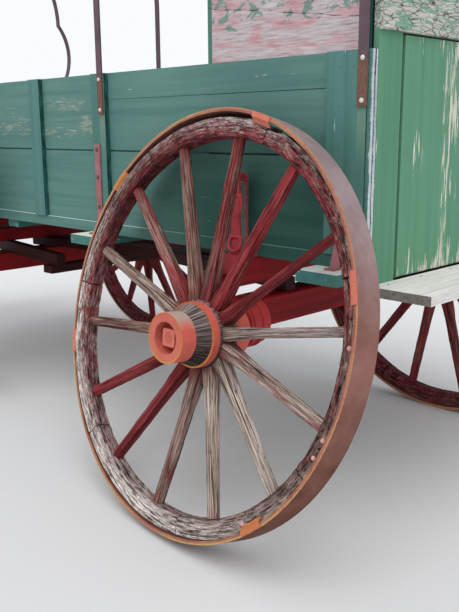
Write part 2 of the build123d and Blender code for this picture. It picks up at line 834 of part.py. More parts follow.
# Column: front edge of the strap
brace_rows = [360, -808]
with BuildPart() as braces:
    for front in brace_rows:
        for side in (-1, 1):
            with BuildSketch(Plane.YZ.offset(rear_x + front)):
                with BuildLine():
                    Polyline(
                        (side * cleat_outer, brace_top),
                        (side * (cleat_outer + brace_thickness), brace_top),
                        (side * (cleat_outer + brace_thickness), brace_bend),
                        (side * (brace_heel + brace_thickness), bed_bottom + brace_thickness),
                        (side * brace_toe, bed_bottom + brace_thickness),
                        (side * brace_toe, bed_bottom),
                        (side * brace_heel, bed_bottom),
                        (side * cleat_outer, brace_bend),
                        close=True,
                    )
                make_face()
            extrude(amount=brace_width)
export(braces, "side_braces")

# Cover bows: flat iron hoops bolted outside the cleats. The last one's right leg is bent outwards.
# Columns: station from the rear axle, bulge
bow_rows = [(443, 0), (-757, 0), (-1675, 0), (-2640, bow_bulge)]
bow_middle = cleat_outer + bow_thickness / 2
bow_arch = bow_top - bow_thickness / 2 - bow_middle
with BuildPart() as bows:
    for station, bulge in bow_rows:
        with BuildSketch(Plane.YZ.offset(rear_x + station - bow_width / 2)):
            with BuildLine():
                Line((-bow_middle, bow_foot), (-bow_middle, bow_arch))
                ThreePointArc((-bow_middle, bow_arch), (0, bow_arch + bow_middle), (bow_middle, bow_arch))
                if bulge:
                    Line((bow_middle, bow_bulge_foot), (bow_middle, bow_foot))
                    ThreePointArc(
                        (bow_middle, bow_arch),
                        (bow_middle + bulge, bow_bulge_middle),
                        (bow_middle, bow_bulge_foot),
                    )
                else:
                    Line((bow_middle, bow_arch), (bow_middle, bow_foot))
            trace(line_width=bow_thickness)
        extrude(amount=bow_width)
export(bows, "cover_bows")

# Chuck box: sides, top, back and shelves, open to the rear behind its lid
chuck_x1 = bed_x1
chuck_half = side_inner - seam_gap
with BuildPart() as chuck_box:
    for side in (-1, 1):
        beam((chuck_x0, chuck_x1), sided(side, chuck_half - chuck_panel, chuck_half), (floor_top, chuck_top))
    beam((chuck_x0, chuck_x1), (-chuck_half, chuck_half), (chuck_top - chuck_panel, chuck_top))
    beam((chuck_x0, chuck_x0 + chuck_panel), (-chuck_half, chuck_half), (floor_top, chuck_top))
export(chuck_box, "chuck_box")

shelf_space = (chuck_top - chuck_panel - floor_top) / (chuck_shelf_count + 1)
with BuildPart() as chuck_shelves:
    for number in range(chuck_shelf_count):
        z = floor_top + (number + 1) * shelf_space
        beam(
            (chuck_x0 + chuck_panel, chuck_x1 - chuck_panel),
            (-chuck_half + chuck_panel, chuck_half - chuck_panel),
            (z, z + chuck_shelf_thickness),
        )
export(chuck_shelves, "chuck_shelves")

# Rear wall: two stiles and a bottom rail, then the header board and corner trims
wall_x = bed_x1
header_bottom = lid_top + 2 * lid_gap
stile_inner = lid_half_width + lid_side_gap
rail_top = rear_wall_bottom + rail_height
lid_hinge_x = wall_x + chuck_panel / 2
lid_hinge_z = shelf_top + lid_foot_gap + chuck_panel / 2
with BuildPart() as frame:
    for side in (-1, 1):
        beam(
            (wall_x, wall_x + chuck_panel),
            sided(side, stile_inner, stile_half_width),
            (rear_wall_bottom, header_bottom),
        )
    beam(
        (wall_x, wall_x + chuck_panel),
        (seat_gap - stile_inner, stile_inner - seat_gap),
        (rear_wall_bottom, rail_top),
    )
    for side in (-1, 1):
        with BuildSketch(Plane.XZ.offset(-side * stile_inner)):
            with Locations((lid_hinge_x, lid_hinge_z)):
                Circle(lid_pin_radius)
        extrude(amount=-side * lid_pin_reach, mode=Mode.SUBTRACT)
export(frame, "rear_frame")
with BuildPart() as trims:
    beam(
        (wall_x, wall_x + chuck_panel + header_proud),
        (-stile_half_width, stile_half_width),
        (header_bottom, chuck_top),
    )
    for side in (-1, 1):
        beam(
            (rear_x + trim_front, wall_x + chuck_panel),
            sided(side, stile_half_width + lid_gap, side_outer + trim_proud),
            (bed_bottom, side_top),
        )
export(trims, "rear_trims")

# Lid of the chuck box. Its rounded foot turns on two pins in the stiles,
# so it folds down over the tail shelf.
with BuildPart() as lid:
    beam((wall_x, wall_x + chuck_panel), (-lid_half_width, lid_half_width), (lid_hinge_z, lid_top))
    with BuildSketch(Plane.XZ.offset(-lid_half_width)):
        with Locations((lid_hinge_x, lid_hinge_z)):
            Circle(chuck_panel / 2)
    extrude(amount=2 * lid_half_width)
    for side in (-1, 1):
        with BuildSketch(Plane.XZ.offset(-side * lid_half_width)):
            with Locations((lid_hinge_x, lid_hinge_z)):
                Circle(lid_pin_radius + pin_clearance)
        extrude(amount=side * lid_pin_reach, mode=Mode.SUBTRACT)
export(lid, "chuck_lid")

with BuildPart() as lid_pins:
    for side in (-1, 1):
        with BuildSketch(Plane.XZ.offset(-side * (stile_inner + lid_pin_reach))):
            with Locations((lid_hinge_x, lid_hinge_z)):
                Circle(lid_pin_radius)
        extrude(amount=side * (lid_side_gap + 2 * lid_pin_reach - lid_gap))
export(lid_pins, "lid_pins")

# Tail shelf
with BuildPart() as tail_shelf:
    beam(
        (wall_x + chuck_panel, wall_x + chuck_panel + shelf_reach),
        (-shelf_half_width, shelf_half_width),
        (shelf_top - shelf_thickness, shelf_top),
    )
export(tail_shelf, "tail_shelf")

print("rear axle x", round(rear_x, 2), "front axle x", round(front_x, 2))
print("tongue pin", round(tongue_pin_x, 2), hound_middle, "drop", round(degrees(tongue_drop), 3))
for name, plane in hub_centres.items():
    print(name, "hub", plane.origin, "axis", plane.z_dir)
print("lid hinge", round(lid_hinge_x, 2), lid_hinge_z)
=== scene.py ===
# %% [markdown]
# # A farm wagon with bare bows and a chuck box
# The imported model gives every solid at its real place, in metres. This script adds what the solids can't
# hold: the worn paint, the split wood of the wheels, nail and bolt heads, rings and clips. The model is
# loaded first. What is added later may hardly make the wagon larger.

# %% Load the model
from functools import partial
from math import cos, pi, radians, sin
from types import SimpleNamespace

import bmesh
import bpy
import numpy as np
from mathutils import Matrix, Vector, noise


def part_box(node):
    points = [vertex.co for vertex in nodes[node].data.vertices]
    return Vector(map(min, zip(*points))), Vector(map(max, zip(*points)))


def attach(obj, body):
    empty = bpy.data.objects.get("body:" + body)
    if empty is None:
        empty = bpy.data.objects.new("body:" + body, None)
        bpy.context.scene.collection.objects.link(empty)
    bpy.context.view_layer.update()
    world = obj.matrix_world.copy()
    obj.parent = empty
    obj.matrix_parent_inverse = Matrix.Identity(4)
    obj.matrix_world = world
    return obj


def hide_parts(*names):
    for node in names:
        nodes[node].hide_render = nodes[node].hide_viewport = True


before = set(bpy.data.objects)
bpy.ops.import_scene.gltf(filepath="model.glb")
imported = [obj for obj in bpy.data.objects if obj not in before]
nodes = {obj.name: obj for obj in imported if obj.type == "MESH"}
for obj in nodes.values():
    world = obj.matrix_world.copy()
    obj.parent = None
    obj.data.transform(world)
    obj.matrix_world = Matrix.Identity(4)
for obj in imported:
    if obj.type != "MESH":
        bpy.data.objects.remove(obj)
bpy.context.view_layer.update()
scene = bpy.context.scene

# %% [markdown]
# ## The camera
# The photograph was taken from behind the wagon's left side, a little above hip height and tilted down,
# with a long lens. A camera is a place, a heading and a tilt, so those are the values, and the three
# directions of its frame follow from them.

# %% Place the camera
CAMERA_PLACE = Vector((4.27912, -2.30713, 1.23888))
CAMERA_HEADING = 0.791448
CAMERA_TILT = 0.225044
CAMERA_ROLL = -0.0072436
CAMERA_LENS = 45.563
SENSOR_HEIGHT = 36.0

level_look = Vector((-sin(CAMERA_HEADING), cos(CAMERA_HEADING), 0))
look = level_look * cos(CAMERA_TILT) - Vector((0, 0, sin(CAMERA_TILT)))
level_right = look.cross(Vector((0, 0, 1))).normalized()
level_up = level_right.cross(look)
right = level_right * cos(CAMERA_ROLL) + level_up * sin(CAMERA_ROLL)
up = level_up * cos(CAMERA_ROLL) - level_right * sin(CAMERA_ROLL)

camera_data = bpy.data.cameras.new("camera")
camera_data.lens = CAMERA_LENS
camera_data.sensor_fit = "VERTICAL"
camera_data.sensor_height = SENSOR_HEIGHT
camera = bpy.data.objects.new("camera", camera_data)
camera.matrix_world = Matrix.Translation(CAMERA_PLACE) @ Matrix((right, up, -look)).transposed().to_4x4()
scene.collection.objects.link(camera)
scene.camera = camera
print("camera looks along", [round(value, 3) for value in look])

# %% [markdown]
# ## Light and floor
# An overcast sky has no hard shadow. A pale world gives most of the light, and one wide sun from behind the
# camera models the forms. The floor and the background are plain and pale, and rays that only look at the
# background see it white.

# %% Build the light
FLOOR_HALF = 14.0
FLOOR_GREY = (0.66, 0.66, 0.66, 1)
SKY_COLOUR = (0.95, 0.97, 1.0, 1)
SKY_STRENGTH = 0.88
SUN_STRENGTH = 1.5
SUN_WIDTH = radians(50)
SUN_DIRECTION = Vector((0.35, -0.55, 1.0))

scene.view_settings.view_transform = "Standard"


def add_node(tree, kind, *values, sockets=None, **settings):
    """Add a node, set its properties, feed its live sockets in order, and return its first live output.

    A value is a number, a colour, or another node's output, and None leaves a socket as it is. Sockets feeds
    further ones by name.
    """
    node = tree.nodes.new(kind if "Node" in kind else "ShaderNode" + kind)
    for name, value in settings.items():
        setattr(node, name, value)
    fed = list(zip([socket for socket in node.inputs if socket.enabled], values))
    fed += [(node.inputs[name], value) for name, value in (sockets or {}).items()]
    for socket, value in fed:
        if isinstance(value, bpy.types.NodeSocket):
            tree.links.new(value, socket)
        elif value is not None:
            socket.default_value = value
    return next((socket for socket in node.outputs if socket.enabled), None)


def build_world():
    world = bpy.data.worlds.new("overcast sky")
    world.use_nodes = True
    world.node_tree.nodes.clear()
    add = partial(add_node, world.node_tree)
    path = add("LightPath").node.outputs
    seen = add("Math", path["Is Camera Ray"], path["Is Glossy Ray"], operation="MAXIMUM")
    strength = add("MapRange", seen, 0.0, 1.0, SKY_STRENGTH, 1.0)
    add("OutputWorld", add("Background", SKY_COLOUR, strength))
    scene.world = world


def build_sun():
    data = bpy.data.lights.new("wide sun", "SUN")
    data.energy = SUN_STRENGTH
    data.angle = SUN_WIDTH
    sun = bpy.data.objects.new("wide sun", data)
    sun.rotation_euler = SUN_DIRECTION.to_track_quat("Z", "Y").to_euler()
    scene.collection.objects.link(sun)


def build_floor():
    mesh = bpy.data.meshes.new("floor")
    corners = [(x * FLOOR_HALF, y * FLOOR_HALF, 0) for x, y in ((-1, -1), (1, -1), (1, 1), (-1, 1))]
    mesh.from_pydata(corners, [], [(0, 1, 2, 3)])
    material = bpy.data.materials.new("plain pale floor")
    material.use_nodes = True
    shader = material.node_tree.nodes["Principled BSDF"]
    shader.inputs["Base Color"].default_value = FLOOR_GREY
    shader.inputs["Roughness"].default_value = 0.9
    mesh.materials.append(material)
    floor = bpy.data.objects.new("floor", mesh)
    scene.collection.objects.link(floor)


build_world()
build_sun()
build_floor()
print("light and floor are in place")

# %% [markdown]
# ## Tools for finishes
# Colours are written as they are seen on a screen and turned to linear light by one function. Each finish
# is a node tree on the piece's own coordinates, so its pattern stays put when the piece moves. A finish is
# built up in layers: noise gives a value at each place, and two tones meet where that value passes between
# two levels.

# %% Colour and material helpers
MM = 0.001
REAR_X = 2.54902
FRONT_X = 0.49902
# Chalky paint and dry wood reflect this share of what smooth paint would
DULL_SHEEN = 0.18


def tint(code):
    """A screen colour such as a1b2c3, as linear light."""
    values = [int(code[k:k + 2], 16) / 255 for k in (0, 2, 4)]
    return tuple(v / 12.92 if v <= 0.04045 else ((v + 0.055) / 1.055) ** 2.4 for v in values) + (1,)


def new_finish(name):
    """An empty material, and a function that adds nodes to it."""
    material = bpy.data.materials.new(name)
    material.use_nodes = True
    material.node_tree.nodes.clear()
    return material, partial(add_node, material.node_tree)


def surface(add, colour, rough, height, depth):
    """Close a finish: colour, roughness, and a relief whose depth is in metres."""
    bump = add("Bump", 1.0, depth, None, height)
    dull = {"Specular IOR Level": DULL_SHEEN, "Normal": bump}
    add("OutputMaterial", add("BsdfPrincipled", colour, None, rough, sockets=dull))


def speckle(add, place, size, detail=5.0, rough=0.6, warp=0.0):
    """Cloudy noise from 0 to 1 whose blots are about one size, in metres. The size may differ per axis."""
    sizes = size if isinstance(size, tuple) else (size,) * 3
    scaled = add("Mapping", place, None, None, tuple(1 / value for value in sizes))
    return add("TexNoise", scaled, 1.0, detail, rough, sockets={"Distortion": warp})


def tones(add, value, below, above, *levels):
    """One colour where a value is at its first level, another at its second. Without levels it is a mask.

    A colour is a code or another node's output.
    """
    mask = add("MapRange", value, *levels) if levels else value
    colours = [tint(colour) if isinstance(colour, str) else colour for colour in (below, above)]
    return add("Mix", mask, *colours, data_type="RGBA")


def apart(add, value, level):
    """How far a value is from a level, either way."""
    return add("Math", add("Math", value, level, operation="SUBTRACT"), operation="ABSOLUTE")


def along(axis, length, width):
    """Sizes of a pattern stretched along one axis of the part."""
    return tuple(length if k == axis else width for k in range(3))


def lost(add, value, share, softness=0.02):
    """A mask of the places where paint is gone, from noise and the share that is gone."""
    limit = add("Math", share, -0.32, 0.66, operation="MULTIPLY_ADD")
    return add("MapRange", add("Math", value, limit, operation="SUBTRACT"), 0.0, softness)


def mixed(add, first, weight, second):
    """The weighted mean of two noises."""
    total = add("Math", first, weight, second, operation="MULTIPLY_ADD")
    return add("Math", total, 1 + weight, operation="DIVIDE")


# %% [markdown]
# ## Marks on the boards
# Three things show on the bed alone: the sides darken behind the wheels, with thrown dirt and with painted
# shade of the wheels; the seam between two side boards is a black line with rubbed paint above it; and the
# cleats are stained where longer bows once stood, with painted shade on their faces that look along the
# wagon. Each is a small function, so that one recipe for boards can take them in.

# %% Dirt and painted shade, seam and stains
SIDE_SEAM = 1.160
SEAM_WAVE = 5 * MM
# Where the sides darken with thrown dirt and painted shade of the wheels: a little behind each axle,
# half lengths of the sound and the darkest part
DIRT_AND_SHADE_SHIFT = 0.05
DIRT_AND_SHADE_REACH = (0.62, 0.22)
DIRT_AND_SHADE_HEIGHTS = (1.26, 1.04)
# The rubbed belt: heights where it rises and fades, and where it starts along the wagon
BELT_FOOT = (1.17, 1.22)
BELT_TOP = (1.40, 1.35)
BELT_START = (REAR_X - 0.60, REAR_X - 0.80)
# Stains of two bow feet: places from the rear axle, and half widths where the stain fades and is full
GHOST_STATIONS = (-0.757, 0.443)
GHOST_HALF = (0.019, 0.015)


def wheel_dirt_and_shade(add, place):
    """A mask of the low parts of the sides behind the wheels, for thrown dirt and painted shade of the
    wheels.
    """
    x, _, z = add("SeparateXYZ", place).node.outputs
    masks = [add("MapRange", apart(add, x, axle + DIRT_AND_SHADE_SHIFT), *DIRT_AND_SHADE_REACH) for axle in (REAR_X, FRONT_X)]
    both = add("Math", *masks, operation="MAXIMUM")
    return add("Math", both, add("MapRange", z, *DIRT_AND_SHADE_HEIGHTS), operation="MULTIPLY")


def rubbed_seam(add, place, normal, colour):
    """A black line where two side boards meet, and pale rubbed paint above it towards the front."""
    x, _, z = add("SeparateXYZ", place).node.outputs
    wave = speckle(add, place, along(0, 140 * MM, 50 * MM), 4, 0.6)
    rub = speckle(add, place, along(0, 60 * MM, 8 * MM), 7, 0.7)
    blot = speckle(add, place, along(0, 260 * MM, 70 * MM), 3, 0.5)
    belt = add("Math", add("MapRange", z, *BELT_FOOT), add("MapRange", z, *BELT_TOP), operation="MULTIPLY")
    belt = add("Math", belt, add("MapRange", x, *BELT_START), operation="MULTIPLY")
    share = add("MapRange", belt, 0.0, 1.0, -0.6, 0.40)
    rubbed = lost(add, mixed(add, rub, 1.6, blot), share, 0.05)
    colour = tones(add, add("Math", rubbed, 0.42, operation="MULTIPLY"), colour, "b4ab96")
    level = add("Math", wave, SEAM_WAVE, z, operation="MULTIPLY_ADD")
    return tones(add, apart(add, level, SIDE_SEAM + SEAM_WAVE / 2), colour, "12262a", 3.8 * MM, 2.4 * MM)


def stained_cleats(add, place, normal, colour):
    """Ochre stains below the feet of two bows, and painted shade on the faces that look along the wagon."""
    x, _, z = add("SeparateXYZ", place).node.outputs
    for station in GHOST_STATIONS:
        strip = add("MapRange", apart(add, x, REAR_X + station), *GHOST_HALF)
        strip = add("Math", strip, add("MapRange", z, 1.12, 1.24), operation="MULTIPLY")
        colour = tones(add, add("Math", strip, 0.32, operation="MULTIPLY"), colour, "8d9a80")
    # Painted shade: the faces that look along the wagon get a darker teal, as if they were in shade.
    painted_shade_faces = add("Math", add("SeparateXYZ", normal), operation="ABSOLUTE")
    fleck = speckle(add, place, along(2, 60 * MM, 9 * MM), 5, 0.62)
    return tones(add, painted_shade_faces, colour, tones(add, fleck, "2c625c", "1c403c", 0.56, 0.46), 0.6, 0.8)


print("marks are ready for the boards")

# %% [markdown]
# ## Painted boards
# The bed is planed pine under old oil paint. Sun and rain open the grain, so the paint goes first in long
# thin chips along it. One recipe serves every board: bare wood with a grain, two close paint tones in large
# clouds, and a mask of stretched noise that says where the paint is gone. The table holds what differs.

# %% Painted board finishes
GRAIN_LENGTH, GRAIN_WIDTH = 260 * MM, 7 * MM
CHIP_LENGTH, CHIP_WIDTH = 110 * MM, 9 * MM
CLOUD_SIZE = 420 * MM
PATCH_WIDTH = 90 * MM


def painted_boards(name, axis, woods, paints, bare, top=None, foot=None, dirt=None, marks=None):
    """Worn oil paint on boards whose grain runs along one axis.

    Bare gives the share without paint, least and most. The top gives two tones for upper faces, and a third
    value of 1 where the rear face is like them. The foot is a pair of heights, bare below the first and sound
    above the second. The dirt is a colour that dims the paint behind the wheels, as thrown dirt and as
    painted shade of the wheels. The marks are a function that adds what one finish alone has.
    """
    material, add = new_finish(name)
    own = add("TexCoord").node.outputs
    place, normal = own["Object"], own["Normal"]
    grain = speckle(add, place, along(axis, GRAIN_LENGTH, GRAIN_WIDTH), 8, 0.65)
    chip = speckle(add, place, along(axis, CHIP_LENGTH, CHIP_WIDTH), 7, 0.62)
    cloud = speckle(add, place, CLOUD_SIZE, 3, 0.5)
    patch = speckle(add, place, along(axis, 2 * GRAIN_LENGTH, PATCH_WIDTH), 4, 0.55)
    streak = speckle(add, place, along(axis, 3 * GRAIN_LENGTH, 4 * GRAIN_WIDTH), 4, 0.5)
    wood = tones(add, grain, *woods, 0.35, 0.62)
    paint = tones(add, streak, tones(add, cloud, *paints[:2], 0.3, 0.7), paints[2], 0.42, 0.75)
    patch = add("MapRange", patch, 0.47, 0.66)
    if foot:
        low = add("MapRange", add("SeparateXYZ", place).node.outputs["Z"], foot[1], foot[0])
        patch = add("Math", low, 0.8, patch, operation="MULTIPLY_ADD")
    share = add("MapRange", patch, 0.0, 1.0, *bare, clamp=False)
    gone = lost(add, mixed(add, grain, 0.35, chip), share)
    colour = tones(add, gone, paint, wood)
    if top:
        rearward, _, upward = add("SeparateXYZ", normal).node.outputs
        facing = add("Math", rearward, top[2], upward, operation="MULTIPLY_ADD")
        colour = tones(add, facing, colour, tones(add, grain, top[1], top[0], 0.3, 0.6), 0.5, 0.8)
    # Dirt and painted shade: the paint dims behind the wheels, where they throw dirt and where their shade
    # falls.
    if dirt:
        dimmed = tones(add, wheel_dirt_and_shade(add, place), "ffffff", dirt)
        colour = add("Mix", 1.0, colour, dimmed, data_type="RGBA", blend_type="MULTIPLY")
    if marks:
        colour = marks(add, place, normal, colour)
    rough = add("MapRange", gone, 0.0, 1.0, 0.6, 0.92)
    surface(add, colour, rough, add("Math", gone, -0.6, grain, operation="MULTIPLY_ADD"), 0.9 * MM)
    return material


GREY_PINE = ("93a097", "cdd3cb")
BOARDS = {
    "teal painted pine": dict(
        axis=0, woods=GREY_PINE, paints=("557b74", "5f857d", "4a746d"), bare=(-0.4, 0.16),
        # The dirt tint dims the paint behind the wheels as dirt and as painted shade of the wheels.
        top=("e4eae4", "a2b8ae", 0), dirt="94b6b0", marks=rubbed_seam,
    ),
    "teal painted upright pine": dict(
        axis=2, woods=("8d978d", "c9cfc6"), paints=("4c776f", "57807a", "436e66"), bare=(-0.35, 0.18),
        marks=stained_cleats,
    ),
    "teal painted cross pine": dict(
        axis=1, woods=GREY_PINE, paints=("3f706a", "4b7b73", "376761"), bare=(0.0, 0.4),
        top=("ecece8", "b4beb8", 0),
    ),
    "peeling green pine": dict(
        axis=2, woods=("b7b4a4", "dedacc"), paints=("5d9070", "659979", "52876a"), bare=(-0.10, 0.50),
        foot=(0.80, 0.91),
    ),
    "sound green pine": dict(
        axis=2, woods=("b7b4a4", "d2cebf"), paints=("5a8d6d", "629676", "4f8467"), bare=(-0.15, 0.40),
    ),
    "bare weathered pine": dict(
        axis=0, woods=("57514c", "8f8a84"), paints=("7d7974", "928e88", "67635e"), bare=(0.4, 0.6),
        top=("e2dfda", "bcb8b2", 0),
    ),
    "bleached shelf pine": dict(
        axis=1, woods=("4f4a45", "8a857f"), paints=("756f69", "8c8781", "5f5a55"), bare=(0.4, 0.6),
        top=("e6e3df", "c4c0bb", 1),
    ),
    "red painted gear timber": dict(
        axis=0, woods=("3c2a26", "76635b"), paints=("7c0f18", "8c161f", "5c0a11"), bare=(0.0, 0.35),
    ),
    # Painted shade: the red gear timber darkened to the deep shade under the bed, for the reach and hounds.
    "dark red gear timber": dict(
        axis=0, woods=("211514", "463833"), paints=("2e0508", "3a080c", "220405"), bare=(-0.1, 0.25),
    ),
    "red painted cross timber": dict(
        axis=1, woods=("3c2a26", "6c544c"), paints=("840c15", "941620", "660910"), bare=(-0.1, 0.28),
    ),
}
finishes = {name: painted_boards(name, **row) for name, row in BOARDS.items()}
print("board finishes:", ", ".join(finishes))

# %% [markdown]
# ## Flaking white paint
# The header board and the corner trims lost most of their paint. The header's white sits on green and broke
# into level flakes with dark cracks between them. The trims are upright strips with one long dark crack,
# and their outer edge is flaked down to teal.

# %% Flaking white finish
HEADER_FOOT = 1.47
FLAKE_LENGTH, FLAKE_HEIGHT = 46 * MM, 13 * MM
TRIM_EDGE = 0.455
# The crack down a trim and the flaked outer edge, as distances from the wagon's middle
TRIM_CRACK = 0.4995
TRIM_FLAKED = 0.511
CRACK_SWAY = 0.014
TRIM_TEAL = "5a8078"


def flaked_header(add, place, level):
    """Cream flakes over green, and a mask of the dark cracks between them."""
    patch = speckle(add, place, along(1, 170 * MM, 48 * MM), 5, 0.6, 0.6)
    cream = tones(add, level, "a9a7a1", "d4d0c9", 0.38, 0.6)
    green = tones(add, level, "5c8871", "84a694", 0.4, 0.6)
    header = tones(add, lost(add, mixed(add, patch, 0.8, level), 0.47), cream, green)
    sizes = along(1, FLAKE_LENGTH, FLAKE_HEIGHT)
    scaled = add("Mapping", place, None, None, tuple(1 / size for size in sizes))
    shifted = add("VectorMath", scaled, patch, operation="ADD")
    between = add("MapRange", add("TexVoronoi", shifted, 1.0, feature="DISTANCE_TO_EDGE"), 0.07, 0.03)
    shown = add("Math", between, add("MapRange", level, 0.62, 0.42), operation="MULTIPLY")
    return tones(add, shown, header, "3a463e"), shown


def split_strip(add, place):
    """White in upright strips, with a long crack and teal where the outer edge has flaked."""
    x, y, _ = add("SeparateXYZ", place).node.outputs
    upright = speckle(add, place, along(2, 240 * MM, 5 * MM), 6, 0.62)
    ragged = speckle(add, place, along(2, 70 * MM, 12 * MM), 6, 0.65)
    strip = tones(add, upright, "909fa3", "d0d9dc", 0.36, 0.56)
    strip = tones(add, upright, strip, "4d4a54", 0.35, 0.32)
    aside = add("Math", y, operation="ABSOLUTE")
    beyond = add("Math", aside, TRIM_FLAKED, operation="SUBTRACT")
    beyond = add("Math", beyond, 30.0, ragged, operation="MULTIPLY_ADD")
    strip = tones(add, beyond, strip, TRIM_TEAL, 0.54, 0.57)
    swayed = add("Math", ragged, CRACK_SWAY, aside, operation="MULTIPLY_ADD")
    strip = tones(add, apart(add, swayed, TRIM_CRACK + CRACK_SWAY / 2), strip, "3c3744", 2.4 * MM, 1.4 * MM)
    inside = add("Math", x, REAR_X + TRIM_EDGE, operation="SUBTRACT")
    inside = add("Math", inside, 22.0, ragged, operation="MULTIPLY_ADD")
    return tones(add, inside, strip, TRIM_TEAL, 0.47, 0.43)


def flaking_white(name):
    """White paint: level flakes over green on the header, split in upright strips on the trims."""
    material, add = new_finish(name)
    place = add("TexCoord").node.outputs["Object"]
    level = speckle(add, place, along(1, 90 * MM, 9 * MM), 7, 0.66)
    header, shown = flaked_header(add, place, level)
    z = add("SeparateXYZ", place).node.outputs["Z"]
    colour = tones(add, z, split_strip(add, place), header, HEADER_FOOT, HEADER_FOOT + MM)
    surface(add, colour, 0.85, add("Math", shown, -1.5, level, operation="MULTIPLY_ADD"), 0.8 * MM)
    return material


finishes["flaking white paint"] = flaking_white("flaking white paint")
print("flaking finish is ready")

# %% [markdown]
# ## Worn iron
# The irons were painted with the gear, and rust came through. Rust is rough and cloudy in two browns, paint
# is smoother, and the border between them is a ragged mask of fine noise on broad noise. The bows lost all
# their paint, and the bands of the hubs keep an orange and yellow lining and chalk on top.

# %% Iron finishes
RUST_GRAIN = 6 * MM
RUST_CLOUD = 60 * MM
# How far from the wagon's middle the nose bands start, which alone are chalky
NOSE_START = 0.80


def worn_iron(name, paints, rusts, bare, rim=None, low=None):
    """Paint over iron, with rust where it has gone. The bare share goes from 0 to 1.

    The rim gives two colours for faces that look sideways, above its first height and below its second one,
    and how far out from the wagon's middle they start. Low gives the heights between which rust grows.
    """
    material, add = new_finish(name)
    own = add("TexCoord").node.outputs
    place, normal = own["Object"], own["Normal"]
    _, y, z = add("SeparateXYZ", place).node.outputs
    fine = speckle(add, place, RUST_GRAIN, 6, 0.68)
    broad = speckle(add, place, RUST_CLOUD, 6, 0.6)
    share = add("MapRange", z, *low, bare + 1.0, bare) if low else bare
    gone = lost(add, mixed(add, fine, 0.5, broad), share, 0.06 if low else 0.02)
    colour = tones(add, gone, tones(add, broad, *paints, 0.36, 0.64), tones(add, fine, *rusts, 0.38, 0.62))
    if rim:
        above, below, high_end, low_end, outer = rim
        _, sideways, upward = add("SeparateXYZ", normal).node.outputs
        sideways = add("MapRange", add("Math", sideways, operation="ABSOLUTE"), 0.75, 0.85)
        aside = add("Math", y, operation="ABSOLUTE")
        lined = add("Math", sideways, add("MapRange", aside, outer - 0.01, outer), operation="MULTIPLY")
        lining = tones(add, fine, tones(add, z, above, below, high_end, low_end), rusts[0], 0.56, 0.66)
        colour = tones(add, lined, colour, lining)
        chalk = add("MapRange", add("Math", broad, 0.9, upward, operation="MULTIPLY_ADD"), 0.95, 1.35)
        on_nose = add("MapRange", aside, NOSE_START - 0.01, NOSE_START + 0.01)
        colour = tones(add, add("Math", chalk, on_nose, operation="MULTIPLY"), colour, "b39a90")
        colour = tones(add, fine, colour, "7a3f40", 0.34, 0.29)
    rough = add("MapRange", gone, 0.0, 1.0, 0.55, 0.85)
    surface(add, colour, rough, add("Math", gone, -0.5, fine, operation="MULTIPLY_ADD"), 0.5 * MM)
    return material


# Columns: name, paint tones, rust tones, bare share, rim tones with their heights and start, rust heights
IRON_ROWS = [
    ("faded red band iron", ("d66c5e", "ca5b50"), ("b5563a", "c98a40"), 0.10,
     ("b8683c", "c08a3c", 0.66, 0.57, 0.0)),
    ("faded red nut iron", ("cf7866", "c06656"), ("a5503e", "b86a4a"), 0.15),
    ("salmon painted elm", ("c56a5b", "ba5f52"), ("b5604c", "c98a50"), 0.06),
    ("salmon clip iron", ("cb7460", "bc6656"), ("a8503c", "c88a60"), 0.25),
    ("red painted skein iron", ("b8443f", "a63436"), ("7a3028", "9a4a38"), 0.12,
     ("b8604f", "b8604f", 0.66, 0.57, NOSE_START)),
    ("faded red strap iron", ("935c60", "a26e70"), ("74423c", "9a5a4a"), 0.10),
    ("rusted bow iron", ("5a4850", "63525a"), ("664a42", "7c5d50"), 0.02, None, (1.40, 1.47)),
    ("bare dark iron", ("5a504c", "6a5c56"), ("5c3f34", "7a5240"), 0.5),
    ("worn stake iron", ("bc4a4e", "a83a42"), ("8f4038", "b0624c"), 0.12),
    ("orange clip iron", ("b86a44", "bf7c4c"), ("9c4a34", "bd8c3c"), 0.3),
    ("pink washed rivet iron", ("d8a49a", "cc8f88"), ("b5563a", "b87a60"), 0.15),
    ("pale bolt zinc", ("d9d5cf", "c4beb6"), ("8f8478", "a89c8e"), 0.1),
]
for row in IRON_ROWS:
    finishes[row[0]] = worn_iron(*row)
print("iron finishes:", len(IRON_ROWS))

# %% [markdown]
# ## The side of the chuck box
# The big side panel is one sheet whose red paint has bleached to pink and white. It has a fine level grain,
# a few green blotches where an older coat shows, dark spots where nails bled, and one long crack. Its front
# end is a green post, and its rear end is teal and then black, the black being painted shade where the panel
# meets the rear wall.

# %% Bleached panel finish
BLOTCH_SIZE = 32 * MM
SPOT_SIZE = 26 * MM
PANEL_GREEN_FOOT = 1.505
PANEL_POST_END = 2.358
PANEL_TEAL_START = 2.969
PANEL_SHADE_START = 2.986
# The crack falls by this share of its run, from this height at the origin, and wanders by the last value
CRACK_SLOPE = 0.14
CRACK_LEVEL = 1.566 + CRACK_SLOPE * 2.721
CRACK_WANDER = 30 * MM


def panel_crack(add, x, z, cloud, blotch):
    """A mask of the long crack, broken where the blotches are low."""
    sloped = add("Math", x, CRACK_SLOPE, z, operation="MULTIPLY_ADD")
    wobble = add("Math", cloud, CRACK_WANDER, sloped, operation="MULTIPLY_ADD")
    line = add("MapRange", apart(add, wobble, CRACK_LEVEL + CRACK_WANDER / 2), 1.7 * MM, 0.5 * MM)
    return add("Math", line, add("MapRange", blotch, 0.40, 0.52), operation="MULTIPLY")


